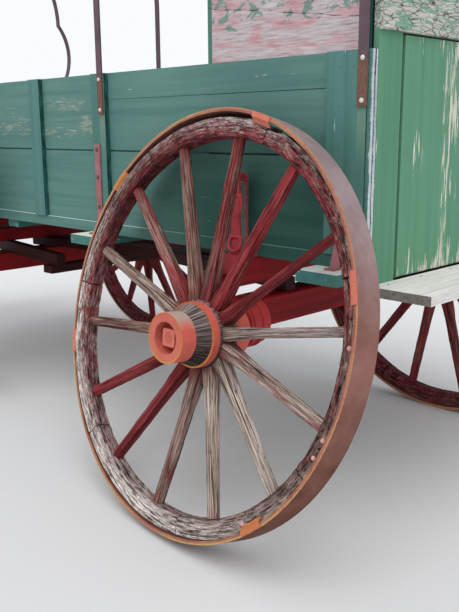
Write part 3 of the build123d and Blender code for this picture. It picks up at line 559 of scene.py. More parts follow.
def bleached_panel(name):
    """Pink and white weathered sheet with green blotches, dark strokes, one long crack and painted ends.

    A near-black strip at the rear end is painted shade.
    """
    material, add = new_finish(name)
    place = add("TexCoord").node.outputs["Object"]
    x, _, z = add("SeparateXYZ", place).node.outputs
    fibre = speckle(add, place, along(0, 70 * MM, 3.2 * MM), 6, 0.6, 0.3)
    cloud = speckle(add, place, along(0, 190 * MM, 60 * MM), 5, 0.6, 0.5)
    blotch = speckle(add, place, along(0, 1.5 * BLOTCH_SIZE, BLOTCH_SIZE), 4, 0.55, 0.8)
    pale = tones(add, fibre, "a39a9c", "c6bec0", 0.38, 0.62)
    pink = tones(add, fibre, "ae7a80", "c99ca1", 0.38, 0.62)
    colour = tones(add, cloud, pale, pink, 0.45, 0.62)
    colour = tones(add, fibre, colour, "8b7070", 0.365, 0.33)
    high = add("MapRange", z, PANEL_GREEN_FOOT - 0.02, PANEL_GREEN_FOOT + 0.06)
    share = add("MapRange", high, 0.0, 1.0, -0.4, 0.36)
    colour = tones(add, lost(add, blotch, share), colour, tones(add, fibre, "6b8279", "849890", 0.4, 0.6))
    spot = add("TexVoronoi", place, 1 / (5 * SPOT_SIZE))
    colour = tones(add, spot, colour, "5c4448", 0.055, 0.03)
    crack = panel_crack(add, x, z, cloud, blotch)
    colour = tones(add, crack, colour, "3a2c2c")
    colour = tones(add, x, colour, "4d7568", PANEL_POST_END + MM, PANEL_POST_END)
    colour = tones(add, x, colour, "1f4a48", PANEL_TEAL_START, PANEL_TEAL_START + MM)
    # Painted shade: a near-black strip at the rear end, where the panel meets the rear wall.
    colour = tones(add, x, colour, "0b0d0d", PANEL_SHADE_START, PANEL_SHADE_START + MM)
    surface(add, colour, 0.82, add("Math", crack, -3.0, fibre, operation="MULTIPLY_ADD"), 0.7 * MM)
    return material


finishes["bleached painted sheet"] = bleached_panel("bleached painted sheet")
print("panel finish is ready")

# %% [markdown]
# ## Finishes on the solids
# Every solid keeps its shape and gets the finish that it shows in the photograph. The table gives the nodes
# of each finish by how their names end, so pieces that only differ by wheel or by end share a word.

# %% Give the solids their finishes
SOLID_FINISHES = {
    "faded red band iron": ("_hub_bands",),
    "red painted skein iron": ("_skeins",),
    "faded red nut iron": ("_hub_nuts",),
    "red painted cross timber": ("_axle", "bolsters", "sand_board", "doubletree", "singletree"),
    # Painted shade: the reach and hounds take the red gear paint darkened as the shade under the bed.
    "dark red gear timber": ("reach", "hounds"),
    "red painted gear timber": ("tongue",),
    "bare dark iron": ("rub_plate", "king_pin", "pins"),
    "worn stake iron": ("stake_straps",),
    "bare weathered pine": ("bolster_stakes", "floor_boards", "chuck_shelves"),
    "teal painted pine": ("sills", "side_boards"),
    "teal painted cross pine": ("cross_planks", "front_gate"),
    "teal painted upright pine": ("side_cleats",),
    "faded red strap iron": ("side_braces",),
    "rusted bow iron": ("cover_bows",),
    "bleached painted sheet": ("chuck_box",),
    "sound green pine": ("rear_frame",),
    "flaking white paint": ("rear_trims",),
    "peeling green pine": ("chuck_lid",),
    "bleached shelf pine": ("tail_shelf",),
}


def cover(node_name, finish):
    """Give a solid its finish."""
    for material_slot in nodes[node_name].material_slots:
        material_slot.material = finishes[finish]


finished = 0
for finish, endings in SOLID_FINISHES.items():
    for node_name in nodes:
        if node_name.endswith(endings):
            cover(node_name, finish)
            finished += 1
print("finished solids:", finished, "of", len(nodes))

# %% [markdown]
# ## The wood of the wheels
# Spokes, rims and hubs dried out for decades: the grain stands proud, long cracks opened, and red paint
# stays only where the weather missed it. Each piece is rebuilt as a fine skin over the shape of its solid.
# A vector on every point gives the place along the grain and around it, and a second one says how much
# paint, bleach and dirt there is, so one finish serves them all.

# %% Wheel wood finish
FIBRE_SIZE = (170 * MM, 1.9 * MM, 1.0)
RIDGE_SIZE = (240 * MM, 5.5 * MM, 1.0)
CRACK_SIZE = (260 * MM, 6.5 * MM, 1.0)
FLAKE_SIZE = (75 * MM, 5.5 * MM, 1.0)
TONE_SIZE = (160 * MM, 40 * MM, 1.0)


def wheel_wood(name, browns, whites, reds):
    """Split, bleached wood with remains of red paint, driven by the vectors grain and wear."""
    material, add = new_finish(name)
    labels = ("grain", "wear")
    grain, state = (add("Attribute", attribute_name=label).node.outputs["Vector"] for label in labels)
    paint_share, bleach, dirt = add("SeparateXYZ", state).node.outputs
    fibre = speckle(add, grain, FIBRE_SIZE, 7, 0.66)
    ridge = speckle(add, grain, RIDGE_SIZE, 4, 0.5)
    flake = speckle(add, grain, FLAKE_SIZE, 8, 0.7)
    crack = speckle(add, grain, CRACK_SIZE, 3, 0.5)
    cloud = speckle(add, grain, TONE_SIZE, 4, 0.55)
    brown, white = (tones(add, fibre, *pair, 0.41, 0.60) for pair in (browns, whites))
    red = tones(add, cloud, reds[0], reds[1], 0.38, 0.62)
    red = tones(add, fibre, red, reds[2], 0.5, 0.64)
    need = add("Math", paint_share, -0.30, 0.64, operation="MULTIPLY_ADD")
    kept = add("Math", mixed(add, fibre, 1.0, flake), need, operation="SUBTRACT")
    painted = add("MapRange", kept, -0.03, 0.03)
    colour = tones(add, painted, tones(add, bleach, brown, white), red)
    dimmed = tones(add, dirt, "ffffff", "8a7468")
    dimmed = tones(add, ridge, dimmed, "6a544c", 0.50, 0.34)
    colour = add("Mix", 1.0, colour, dimmed, data_type="RGBA", blend_type="MULTIPLY")
    split = add("MapRange", apart(add, crack, 0.5), 0.012, 0.003)
    colour = tones(add, split, colour, "2a1f1b")
    height = fibre
    for layer, weight in ((split, -2.0), (ridge, 2.2), (painted, 0.2)):
        height = add("Math", layer, weight, height, operation="MULTIPLY_ADD")
    surface(add, colour, 0.85, height, 1.6 * MM)
    return material


# Columns: name, brown tones, bleached tones, red tones
WHEEL_WOOD_ROWS = [
    ("split spoke oak", ("482c24", "bb8f7c"), ("806c60", "e4dad0"), ("761c22", "a83c42", "c06466")),
    ("split felloe oak", ("3a2420", "bc968a"), ("8a7b72", "fbf5ef"), ("6a1a20", "a03840", "c48486")),
    ("split hub elm", ("241b1d", "7a6866"), ("6a5f5c", "c0b4b0"), ("b04a42", "c85f55", "d2705f")),
]
for row in WHEEL_WOOD_ROWS:
    finishes[row[0]] = wheel_wood(*row)
print("wheel wood is ready")

# %% [markdown]
# ## How a skin is made
# A skin is a set of point grids. Each grid runs along the grain of the wood in rows, and each row closes on
# itself. Grids that are rings close along the grain too, and the others get a cap at both ends. Working on
# whole arrays keeps this quick, and the noise comes from a fixed place in space, so each run gives the same
# wood.

# %% Skin helpers
SHARP_ANGLE = radians(42)


def settled(name, mesh):
    """An object from a mesh, with its faces turned outwards and its flat corners kept crisp."""
    work = bmesh.new()
    work.from_mesh(mesh)
    bmesh.ops.recalc_face_normals(work, faces=work.faces)
    work.to_mesh(mesh)
    work.free()
    mesh.shade_smooth()
    mesh.set_sharp_from_angle(angle=SHARP_ANGLE)
    piece = bpy.data.objects.new(name, mesh)
    scene.collection.objects.link(piece)
    return piece


def grid_object(name, grids, rings=False):
    """One object from grids of points, grain vectors and wear vectors, as arrays of rows by columns by 3."""
    stores, faces, start = ([], [], []), [], 0
    for grid in grids:
        rows, columns = grid[0].shape[:2]
        index = start + np.arange(rows * columns).reshape(rows, columns)
        beside, ahead = np.roll(index, -1, axis=1), np.roll(index, -1, axis=0)
        quads = np.stack([index, beside, np.roll(ahead, -1, axis=1), ahead], axis=-1)
        faces += quads[:rows if rings else rows - 1].reshape(-1, 4).tolist()
        for part, store in zip(grid, stores):
            store.append(part.reshape(-1, 3))
        start += rows * columns
        ends = () if rings else (0, rows - 1)
        for row in ends:
            for part, store in zip(grid, stores):
                store.append(part[row].mean(axis=0).reshape(1, 3))
            faces += [(int(a), int(b), start) for a, b in zip(index[row], beside[row])]
            start += 1
    points, *layers = (np.concatenate(store) for store in stores)
    mesh = bpy.data.meshes.new(name)
    mesh.from_pydata(points.tolist(), [], faces)
    for label, values in zip(("grain", "wear"), layers):
        layer = mesh.attributes.new(label, "FLOAT_VECTOR", "POINT")
        layer.data.foreach_set("vector", values.astype(np.float32).ravel())
    return settled(name, mesh)


def plain(points):
    """A grid for a finish that needs no grain or wear."""
    place = np.array(points)
    return place, np.zeros_like(place), np.zeros_like(place)


def dress(piece, finish, body, slot, *replaced):
    """Give a piece its finish, the body it rides on, and the nodes that it stands for. The slot is not used.
    """
    piece.data.materials.append(finishes[finish])
    if replaced:
        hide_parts(*replaced)
    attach(piece, body)
    print(piece.name, "faces", len(piece.data.polygons))
    return piece


# %% [markdown]
# ## Shapes that skins share
# A wheel's frame is its middle and three directions, so one function turns angles, radii and places along
# the axle into points. Outlines are lists of corners that are divided finely. Cracks are drawn by chance
# from given ranges, and they are narrow grooves that wander a little on their way.

# %% Frames, outlines and cracks
# Share of a crack's length over which it deepens from either end
CRACK_TAPER = 0.15


def unit(vector):
    """A direction with length 1."""
    return vector / np.linalg.norm(vector)


def wheel_frame(origin, axis):
    """Origin, level direction, upward direction and axis of a wheel."""
    across = unit(np.cross((0.0, 0.0, 1.0), axis))
    return np.array(origin), across, np.cross(axis, across), np.array(axis)


def outward(side, lean, toe):
    """The direction of a wheel's axis, out from the wagon. Angles are in degrees."""
    level = cos(radians(lean))
    return np.array((-sin(radians(toe)) * level, side * cos(radians(toe)) * level, sin(radians(lean))))


def around_wheel(axes, angles, radius, level):
    """Points from angles, radii and places along the axis of a wheel's frame, and the way outwards."""
    origin, across, upward, axis = axes
    away = across * np.cos(angles)[..., None] + upward * np.sin(angles)[..., None]
    return origin + away * radius[..., None] + axis * level[..., None], away


def turned(axes, angle, radius):
    """Origin, axis direction, sideways direction and outward direction at an angle of a wheel."""
    origin, across, upward, axis = axes
    away = across * cos(angle) + upward * sin(angle)
    return origin + away * radius, axis, np.cross(away, axis), away


def cloth_of_noise(place, octaves=4):
    """Noise between about -1 and 1 at an array of places."""
    values = [noise.fractal(tuple(row), 0.7, 2.1, octaves) for row in place.reshape(-1, 3).tolist()]
    return np.array(values).reshape(place.shape[:-1])


def superellipse(angles, power):
    """Half-size 1 outline, from a circle at power 2 to nearly a square at power 8."""
    c, s = np.cos(angles), np.sin(angles)
    size = (np.abs(c) ** power + np.abs(s) ** power) ** (-1 / power)
    return c * size, s * size


def divided(outline):
    """Points round a closed outline. Rows hold a corner's two values and the divisions to the next corner."""
    points = []
    for k, (*corner, count) in enumerate(outline):
        corner, after = np.array(corner), np.array(outline[(k + 1) % len(outline)][:2])
        points += [corner + (after - corner) * j / count for j in range(count)]
    return np.array(points)


def cracks(random, count, along_way, around, ranges, sway):
    """Depth from 0 to 1 of long narrow cracks, drawn from ranges of start, length, place and half width."""
    depth = np.zeros(along_way.shape)
    for _ in range(count):
        begin, length, where, half_width = (random.uniform(*limits) for limits in ranges)
        reach = np.minimum(along_way - begin, begin + length - along_way) / (CRACK_TAPER * length)
        centre = where + random.uniform(0, sway) * np.sin(along_way * 37 + where * 90)
        groove = np.clip(1 - np.abs(around - centre) / half_width, 0, 1)
        depth = np.maximum(depth, np.clip(reach, 0, 1) * groove)
    return depth


# %% [markdown]
# ## Sizes of the wheels
# The same sizes as the solids have, in metres. The left rear wheel leans in at the top, hangs low on its
# hub and sits loose in its tyre. The wear table reads around that wheel from the rear, upwards over the
# top: its upper spokes still hold red paint, the lower right ones are bleached nearly white, and dirt
# darkens the lower left.

# %% Wheel tables
HALF_TRACK = 0.736
TYRE_WIDTH = 0.090
TYRE_THICKNESS = 0.012
RIM_CLEARANCE = 0.0002
FELLOE_DEPTH = 0.056
FELLOE_HALF = 0.031
FELLOE_JOINT = 0.004
FLANGE_RADIUS = 0.108
DISH = 0.030
FOOT_DEPTH = 0.056
FOOT_SPACING = 0.004
FOOT_INSET = 0.004
WAIST_SHARE = 0.3
WAIST_SIZE = (0.044, 0.038)
END_SIZE = (0.032, 0.036)
# The left rear rim sits askew in its tyre: a shift in its plane, and a tilt that moves its face
RIM_SHIFT = (0.0025, 0.0020)
RIM_TILT = 0.017

# Columns: name, axle x, side, tyre radius, spokes, and for the crooked wheel the first spoke's angle, the
# rim's lean and toe, the tyre's slack, and the hub's drop and lean
WHEEL_ROWS = [
    ("rear_left", REAR_X, -1, 0.660, 14, 34.7, 14, 4.2, 0.008, 0.036, 5.5),
    ("rear_right", REAR_X, 1, 0.660, 14),
    ("front_left", FRONT_X, -1, 0.560, 12),
    ("front_right", FRONT_X, 1, 0.560, 12),
]

# Share of the table's paint, bleach and dirt that the other wheels take, what is added, and their turn
KEPT_WEAR = np.array((0.4, 0.35, 0.5))
SOUND_WEAR = np.array((0.55, 0.0, 0.3))
WEAR_TURN = 1.3
# How far noise moves paint, bleach and dirt
WEAR_NOISE = (1, 0.7, 0.6)

# Columns: angle around the wheel, paint, bleach, dirt
SPOKE_WEAR = [
    (-180, 0.25, 0.50, 0.30), (-144, 0.80, 0.15, 0.45), (-118, 0.85, 0.15, 0.50), (-92, 0.25, 0.60, 0.15),
    (-66, 0.14, 0.80, 0.05), (-40, 0.02, 0.95, 0.05), (-15, 0.25, 0.75, 0.10), (9, 0.12, 0.85, 0.15),
    (34, 0.72, 0.30, 0.40), (60, 0.88, 0.35, 0.05), (86, 0.50, 0.22, 0.15), (112, 0.26, 0.25, 0.15),
    (138, 0.46, 0.40, 0.05), (163, 0.18, 0.60, 0.10),
]
FELLOE_WEAR = [
    (-180, 0.36, 0.85, 0.00), (-140, 0.20, 0.85, 0.05), (-100, 0.02, 1.15, 0.00), (-60, 0.04, 0.65, 0.40),
    (-20, 0.25, 0.32, 0.65), (20, 0.45, 0.30, 0.45), (45, 0.60, 0.35, 0.40), (70, 0.50, 0.45, 0.20),
    (90, 0.50, 0.75, 0.05), (115, 0.50, 0.35, 0.45), (140, 0.42, 0.25, 0.55),
]


def wear_at(rows, angles):
    """Paint, bleach and dirt at each angle, read from a table that closes on itself."""
    table = np.array(sorted(rows))
    turn = np.concatenate([table[:, 0] - 360, table[:, 0], table[:, 0] + 360])
    degrees_now = (np.degrees(angles) + 180) % 360 - 180
    columns = [np.interp(degrees_now, turn, np.tile(table[:, k], 3)) for k in (1, 2, 3)]
    return np.stack(columns, axis=-1)


def wheel_wear(wheel, rows, angles):
    """Wear around one wheel. The other three are turned against the table and keep more of their red."""
    if wheel.askew:
        return wear_at(rows, angles)
    return wear_at(rows, angles + wheel.number * WEAR_TURN) * KEPT_WEAR + SOUND_WEAR


def wheel_places(number, name, x, side, radius, spokes, first=0, lean=0, toe=0, slack=0, drop=0, hub_lean=0):
    """One wheel: the values of its row, and the frames of its tyre, rim, hub and spoke feet."""
    rim_axis = outward(side, lean, toe)
    rim_z = radius * cos(radians(lean)) + TYRE_WIDTH / 2 * sin(radians(lean))
    tyre = wheel_frame((x, side * HALF_TRACK, rim_z), rim_axis)
    hub_axis = outward(side, hub_lean, 0)
    hub = wheel_frame(tyre[0] - np.array((0, 0, drop)), hub_axis)
    return SimpleNamespace(
        number=number, name=name, radius=radius, spokes=spokes, first=first, askew=slack > 0,
        tyre=tyre, hub=hub, rim=wheel_frame(tyre[0] - tyre[2] * slack, rim_axis),
        feet=wheel_frame(hub[0] - hub_axis * DISH, hub_axis),
        rim_outer=radius - TYRE_THICKNESS - slack - RIM_CLEARANCE,
    )


def dress_wheel(wheel, part, finish, grids, rings=False):
    """A skin over one wooden part of a wheel, which it stands for."""
    piece = grid_object(f"{wheel.name}_weathered_{part}", grids, rings)
    return dress(piece, finish, f"{wheel.name}_wheel", "wheel_wood", f"{wheel.name}_{part}")


wheels = [wheel_places(number, *row) for number, row in enumerate(WHEEL_ROWS)]
print("left rear hub at", wheels[0].hub[0].round(4))

# %% [markdown]
# ## Tyres
# A tyre shows three sides: a brown tread that the road keeps rubbing, an edge with the last yellow and red
# of its lining, and a dark inside. The finish tells them apart by the direction from the wheel's axis, so
# each wheel needs its own, made from that wheel's frame.

# %% Tyre finishes
RIM_LINE = 5.0 * MM
# Two tones each for the tread's low, middle and high part, as the wheel stands
TREAD_TONES = [("5e3628", "74473a"), ("7e574f", "91655c"), ("887677", "978485")]


def tyre_directions(add, place, normal, axes):
    """From one wheel's frame: the distance from its axis, and how far a face looks sideways and outwards."""
    origin, axis = tuple(axes[0]), tuple(axes[3])
    offset = add("VectorMath", place, origin, operation="SUBTRACT")
    level = add("VectorMath", offset, axis, operation="DOT_PRODUCT")
    along_axis = add("VectorMath", axis, level, operation="SCALE")
    away = add("VectorMath", offset, along_axis, operation="SUBTRACT")
    distance = add("VectorMath", away, operation="LENGTH")
    facing = add("VectorMath", normal, axis, operation="DOT_PRODUCT")
    sideways = add("Math", facing, operation="ABSOLUTE")
    return distance, sideways, add("VectorMath", normal, away, operation="DOT_PRODUCT")


def tyre_iron(name, wheel):
    """Rusted tyre iron with a lined edge, told apart by the directions of one wheel's frame."""
    material, add = new_finish(name)
    own = add("TexCoord").node.outputs
    place = own["Object"]
    distance, sideways, outwards = tyre_directions(add, place, own["Normal"], wheel.tyre)
    fine = speckle(add, place, RUST_GRAIN, 6, 0.68)
    broad = speckle(add, place, 2 * RUST_CLOUD, 6, 0.6)
    wide = speckle(add, place, 5 * RUST_CLOUD, 3, 0.5)
    z = add("SeparateXYZ", place).node.outputs["Z"]
    height = add("Math", broad, 0.5, z, operation="MULTIPLY_ADD")
    low, middle, high = (tones(add, broad, *pair, 0.36, 0.64) for pair in TREAD_TONES)
    tread = tones(add, height, tones(add, height, low, middle, 0.50, 0.85), high, 0.95, 1.30)
    lining = tones(add, wide, "b07a5c", "b8985e", 0.48, 0.58)
    lining = tones(add, fine, lining, "96563f", 0.52, 0.64)
    face = tones(add, broad, "8a554a", "a4725a", 0.4, 0.6)
    inner = wheel.radius - RIM_LINE
    face = tones(add, distance, face, lining, inner - 0.6 * MM, inner)
    colour = tones(add, outwards, tones(add, broad, "54302a", "70443c", 0.4, 0.6), tread, -0.05, 0.05)
    surface(add, tones(add, sideways, colour, face, 0.70, 0.85), 0.72, fine, 0.3 * MM)
    return material


for wheel in wheels:
    label = f"rusted tyre iron {wheel.name.replace('_', ' ')}"
    finishes[label] = tyre_iron(label, wheel)
    cover(f"{wheel.name}_tyre", label)
    print(label)

# %% [markdown]
# ## Spokes
# A spoke was shaved by hand from riven oak: square where it stands on the hub's flange, slim and oval
# further out. Each one is a loft of rounded outlines from the hub's plane to the rim's plane. Noise
# stretched along the wood raises the grain, and a few long cracks open it.

# %% Spokes of all wheels
SPOKE_STATIONS = 64
SPOKE_COLUMNS = 36
SPOKE_SINK = 0.012
SPOKE_END_FIT = 0.999
# Split spokes of the left rear wheel: angle from the rear, and the share of the width that is left
SLIM_SPOKES = {34.7: 0.62, 9.0: 0.78}
# A spoke is meant when its angle is this close, in degrees
SAME_ANGLE = 2
SPOKE_GRAIN = 0.0011
SPOKE_CRACK = 0.0034
CRACKS_PER_SPOKE = 4
# Radius at which the grain is measured round a spoke, and the noise's length and width
SPOKE_ROUND = 0.020
SPOKE_SWELL = (0.055, 0.004)
# Red paint outlives the rest this far from a spoke's ends, with this change of paint, bleach and dirt
FOOT_PAINT_LENGTH = 0.035
SPOKE_FOOT_WEAR, SPOKE_END_WEAR = np.array((0.25, -0.3, 0.3)), np.array((0.3, 0, 0))


def spoke_ends(wheel, angle):
    """Frames of a spoke's foot on the flange and of its end at the rim."""
    place, *ways = turned(wheel.rim, angle, (wheel.rim_outer - FELLOE_DEPTH) * SPOKE_END_FIT)
    if wheel.askew:
        _, across, upward, axis = wheel.rim
        place = place - axis * RIM_TILT * cos(angle) + across * RIM_SHIFT[0] + upward * RIM_SHIFT[1]
    return turned(wheel.feet, angle, FLANGE_RADIUS - FOOT_INSET), (place, *ways)


def slimness(wheel, degrees):
    """The share of a spoke's width that is left."""
    for place, share in SLIM_SPOKES.items():
        if wheel.askew and abs((degrees - place + 180) % 360 - 180) < SAME_ANGLE:
            return share
    return 1.0


def spoke_grid(wheel, number, random):
    """The skin of one spoke, lofted from the hub's plane to the rim's plane."""
    degrees = wheel.first + number * 360 / wheel.spokes
    seed = number + 20 * wheel.number
    foot, end = spoke_ends(wheel, radians(degrees))
    foot_width = 2 * pi * FLANGE_RADIUS / wheel.spokes - FOOT_SPACING
    slim = slimness(wheel, degrees)
    t = np.linspace(0, 1, SPOKE_STATIONS)[:, None]
    turn = np.linspace(0, 2 * pi, SPOKE_COLUMNS, endpoint=False)[None, :]
    depth = np.interp(t, (0, WAIST_SHARE, 1), (FOOT_DEPTH, WAIST_SIZE[0], END_SIZE[0])) / 2
    width = np.interp(t, (0, WAIST_SHARE, 1), (foot_width, WAIST_SIZE[1] * slim, END_SIZE[1] * slim)) / 2
    side, flat = superellipse(turn, np.interp(t, (0, 0.12, WAIST_SHARE, 1), (8, 5, 2.9, 2.6)))
    length = np.linalg.norm(end[0] - foot[0])
    along_way = np.repeat(t * length, SPOKE_COLUMNS, axis=1)
    around = np.repeat(turn, SPOKE_STATIONS, axis=0) * SPOKE_ROUND
    long, wide = SPOKE_SWELL
    place = np.stack([along_way / long, side * depth / wide, flat * width / wide + seed * 7], axis=-1)
    ranges = ((-0.05, length * 0.7), (0.12, 0.34), (0, 2 * pi * SPOKE_ROUND), (0.0022, 0.0036))
    split = cracks(random, CRACKS_PER_SPOKE, along_way, around, ranges, 0.002)
    drop = SPOKE_GRAIN * cloth_of_noise(place) - SPOKE_CRACK * split
    drop = drop * np.interp(t, (0, 0.05, 1), (0.2, 1, 1))
    centre = foot[0] + (end[0] + end[3] * SPOKE_SINK - foot[0]) * t[..., None]
    deep_way, wide_way = (foot[k] + (end[k] - foot[k]) * t[..., None] for k in (1, 2))
    points = centre + deep_way * (side * (depth + drop))[..., None]
    points = points + wide_way * (flat * (width + drop))[..., None]
    grain = np.stack([along_way, around, np.full(along_way.shape, seed * 3.7)], axis=-1)
    wear = wheel_wear(wheel, SPOKE_WEAR, np.array([radians(degrees)]))[0]
    wear = wear + 0.25 * cloth_of_noise(place * (0.4, 0.1, 0.1) + 20, 2)[..., None] * WEAR_NOISE
    for far, change in ((along_way, SPOKE_FOOT_WEAR), (length - along_way, SPOKE_END_WEAR)):
        wear = wear + np.exp(-far / FOOT_PAINT_LENGTH)[..., None] * change
    return points, grain, np.clip(wear, 0, 1)


spoke_random = np.random.default_rng(14)
for wheel in wheels:
    grids = [spoke_grid(wheel, number, spoke_random) for number in range(wheel.spokes)]
    dress_wheel(wheel, "spokes", "split spoke oak", grids)

# %% [markdown]
# ## Felloes
# The rim is sawn from short bends of oak that meet in open joints. Sawing cuts across the grain, so the
# faces split along curved lines, corners break away, and the ends turn ragged. Each felloe is a swept
# outline with close columns on its two flat faces, where the cracks lie.

# %% Felloes of all wheels
FELLOE_STATIONS = 84
FELLOE_ROUNDING = 0.010
FELLOE_GRAIN = 0.0017
# The noise's length, its depth and its width
FELLOE_SWELL = (0.028, 0.0045, 0.006)
# How much shorter and wider than on the spokes the grain's pattern is
FELLOE_FIGURE = (3.6, 0.68)
FELLOE_CRACK = 0.0048
CRACKS_PER_FELLOE = 7
# Change of paint, bleach and dirt across the depth of the rim, and close to its inside
FELLOE_DEPTH_WEAR, FELLOE_INSIDE_WEAR = np.array((-0.35, 0.45, -0.1)), np.array((0.0, -0.20, 0.30))
# How much of a broken corner is lost, and how far round it
CORNER_LOSS, CORNER_REACH = 0.006, 0.006
# How far a ragged end is eaten away, and how far back from the joint
END_LOSS = 0.004
# What lies this close to the tyre or to a face is that surface
SKIN = 0.001
# One felloe end is broken: the joint's angle, how far round the loss reaches, its depth and its limit
BROKEN_END = radians(73.3)
BROKEN_REACH = radians(6.5)
BROKEN_DEPTH = 0.024
BROKEN_LIMIT = 0.030
# Section as radius from the rim's inside and place along the axis, with the divisions to the next corner
FELLOE_OUTLINE = [
    (FELLOE_ROUNDING, FELLOE_HALF, 18), (FELLOE_DEPTH, FELLOE_HALF, 4), (FELLOE_DEPTH, -FELLOE_HALF, 14),
    (FELLOE_ROUNDING, -FELLOE_HALF, 4), (0, FELLOE_ROUNDING - FELLOE_HALF, 6),
    (0, FELLOE_HALF - FELLOE_ROUNDING, 4),
]


def broken_away(radius, angles, rough, rim_outer):
    """The radius with the broken end of one felloe taken off."""
    loss = np.clip(1 - (BROKEN_END - angles) / BROKEN_REACH, 0, 1) * (angles < BROKEN_END) * BROKEN_DEPTH
    loss = loss * (0.8 + 0.5 * rough)
    return np.minimum(radius, rim_outer - np.clip(loss, 0, BROKEN_LIMIT))


def felloe_grid(wheel, number, random):
    """The skin of one felloe, its section carried along the rim between two open joints."""
    pitch = 2 * pi / wheel.spokes
    gap = FELLOE_JOINT / wheel.rim_outer
    begin = radians(wheel.first) - pitch / 2 + gap / 2 + number * 2 * pitch
    end = begin + 2 * pitch - gap
    seed = number + 9 * wheel.number
    inner = wheel.rim_outer - FELLOE_DEPTH
    angles = np.linspace(begin, end, FELLOE_STATIONS)[:, None]
    section = divided(FELLOE_OUTLINE) + (inner, 0)
    radius, level = (np.repeat(column[None, :], FELLOE_STATIONS, axis=0) for column in section.T)
    along_way = angles * wheel.rim_outer + 0 * level
    long, deep, wide = FELLOE_SWELL
    place = np.stack([along_way / long, radius / deep, level / wide + seed * 5], axis=-1)
    swell = cloth_of_noise(place)
    rough = cloth_of_noise(place * (0.9, 0.25, 0.25) + 40, 3)
    starts = ((begin - 0.05) * wheel.rim_outer, (end - 0.1) * wheel.rim_outer)
    ranges = (starts, (0.08, 0.24), (inner + 0.006, inner + 0.050), (0.0022, 0.0034))
    split = cracks(random, CRACKS_PER_FELLOE, along_way, radius, ranges, 0.003)
    below_tyre = radius < wheel.rim_outer - SKIN
    on_face = (np.abs(level) > FELLOE_HALF - SKIN / 2) & below_tyre
    level = level + np.sign(level) * np.where(on_face, FELLOE_GRAIN * swell - FELLOE_CRACK * split, 0)
    near_corner = np.exp(-((radius - inner - FELLOE_ROUNDING) / CORNER_REACH) ** 2)
    level = level - np.sign(level) * near_corner * CORNER_LOSS * np.clip(rough - 0.15, 0, 1)
    deep_share = np.clip((radius - inner) / FELLOE_DEPTH, 0, 1)[..., None]
    radius = radius + np.where(below_tyre, FELLOE_GRAIN * rough, 0)
    if wheel.askew:
        radius = broken_away(radius, angles, rough, wheel.rim_outer)
        level = level - RIM_TILT * np.cos(angles)
    ends = np.minimum(angles - begin, end - angles)
    ragged = np.exp(-ends / END_LOSS) * END_LOSS * np.abs(rough)
    angles = angles + np.where(angles < (begin + end) / 2, ragged, -ragged)
    points, _ = around_wheel(wheel.rim, angles, radius, level)
    if wheel.askew:
        points = points + wheel.rim[1] * RIM_SHIFT[0] + wheel.rim[2] * RIM_SHIFT[1]
    around = (radius + level) * FELLOE_FIGURE[1]
    grain = np.stack([along_way * FELLOE_FIGURE[0], around, np.full(along_way.shape, seed * 2.9)], axis=-1)
    wear = wheel_wear(wheel, FELLOE_WEAR, angles) + 0.22 * rough[..., None] * WEAR_NOISE
    wear = wear + (deep_share - 0.5) * FELLOE_DEPTH_WEAR + np.exp(-deep_share / 0.06) * FELLOE_INSIDE_WEAR
    return points, grain, np.clip(wear, 0, 1)


felloe_random = np.random.default_rng(7)
for wheel in wheels:
    grids = [felloe_grid(wheel, number, felloe_random) for number in range(wheel.spokes // 2)]
    dress_wheel(wheel, "felloes", "split felloe oak", grids)

# %% [markdown]
# ## Hubs
# A hub is one turned block of elm. It shrinks across the grain, so it opens in many cracks that all run
# along the axle, deepest on the nose. The skin is the turned outline carried round in small steps, and each
# crack is a groove a step or two wide that wanders a little. The nose's end and the recess in it were
# painted.

# %% Hubs of all wheels
HUB_COLUMNS = 300
HUB_CRACKS = 54
HUB_CRACK_DEPTH = 0.0055
HUB_GRAIN = 0.0007
RECESS_GRAIN = 0.0012
# Paint, bleach and dirt of a hub, and their change from the axle's height upwards
HUB_WEAR, HUB_UPWARD_WEAR = np.array((0.10, 0.30, 0.30)), np.array((0, 0.45, -0.25))
# Radius at which the grain is measured round a hub, and the noise's length
HUB_ROUND = 0.085
HUB_SWELL = 0.04
# Corners of the turned outline. Columns: radius, place along the axle, divisions to the next corner
HUB_OUTLINE = [
    (0.03805, -0.150, 3), (0.080, -0.150, 3), (0.080, -0.108, 2), (0.084, -0.108, 6), (0.097, -0.092, 2),
    (0.097, -0.064, 2), (0.108, -0.064, 8), (0.108, 0.004, 3), (0.097, 0.004, 3), (0.097, 0.032, 16),
    (0.078, 0.079, 2), (0.072, 0.079, 8), (0.072, 0.135, 6), (0.050, 0.135, 8), (0.050, 0.083, 5),
    (0.02805, 0.083, 10),
]
# The wood stays smooth below the four shrunk-on bands, between these places along the axle
BAND_SEATS = [(-0.151, -0.107), (-0.093, -0.063), (0.003, 0.033), (0.078, 0.1360)]
BAND_SEAT_RADIUS = 0.0975
# Beyond this radius the outside is grained and cracked
OUTSIDE_RADIUS = 0.0715
# The recess's wall is grained: its radii, and where it starts along the axle
RECESS_WALL = (0.045, 0.051)
RECESS_START = 0.09
# The nose's end is painted from this place along the axle, and the recess from a place and within a radius
PAINTED_END = 0.1335
RECESS_PLACE, RECESS_RADIUS = 0.08, 0.0555


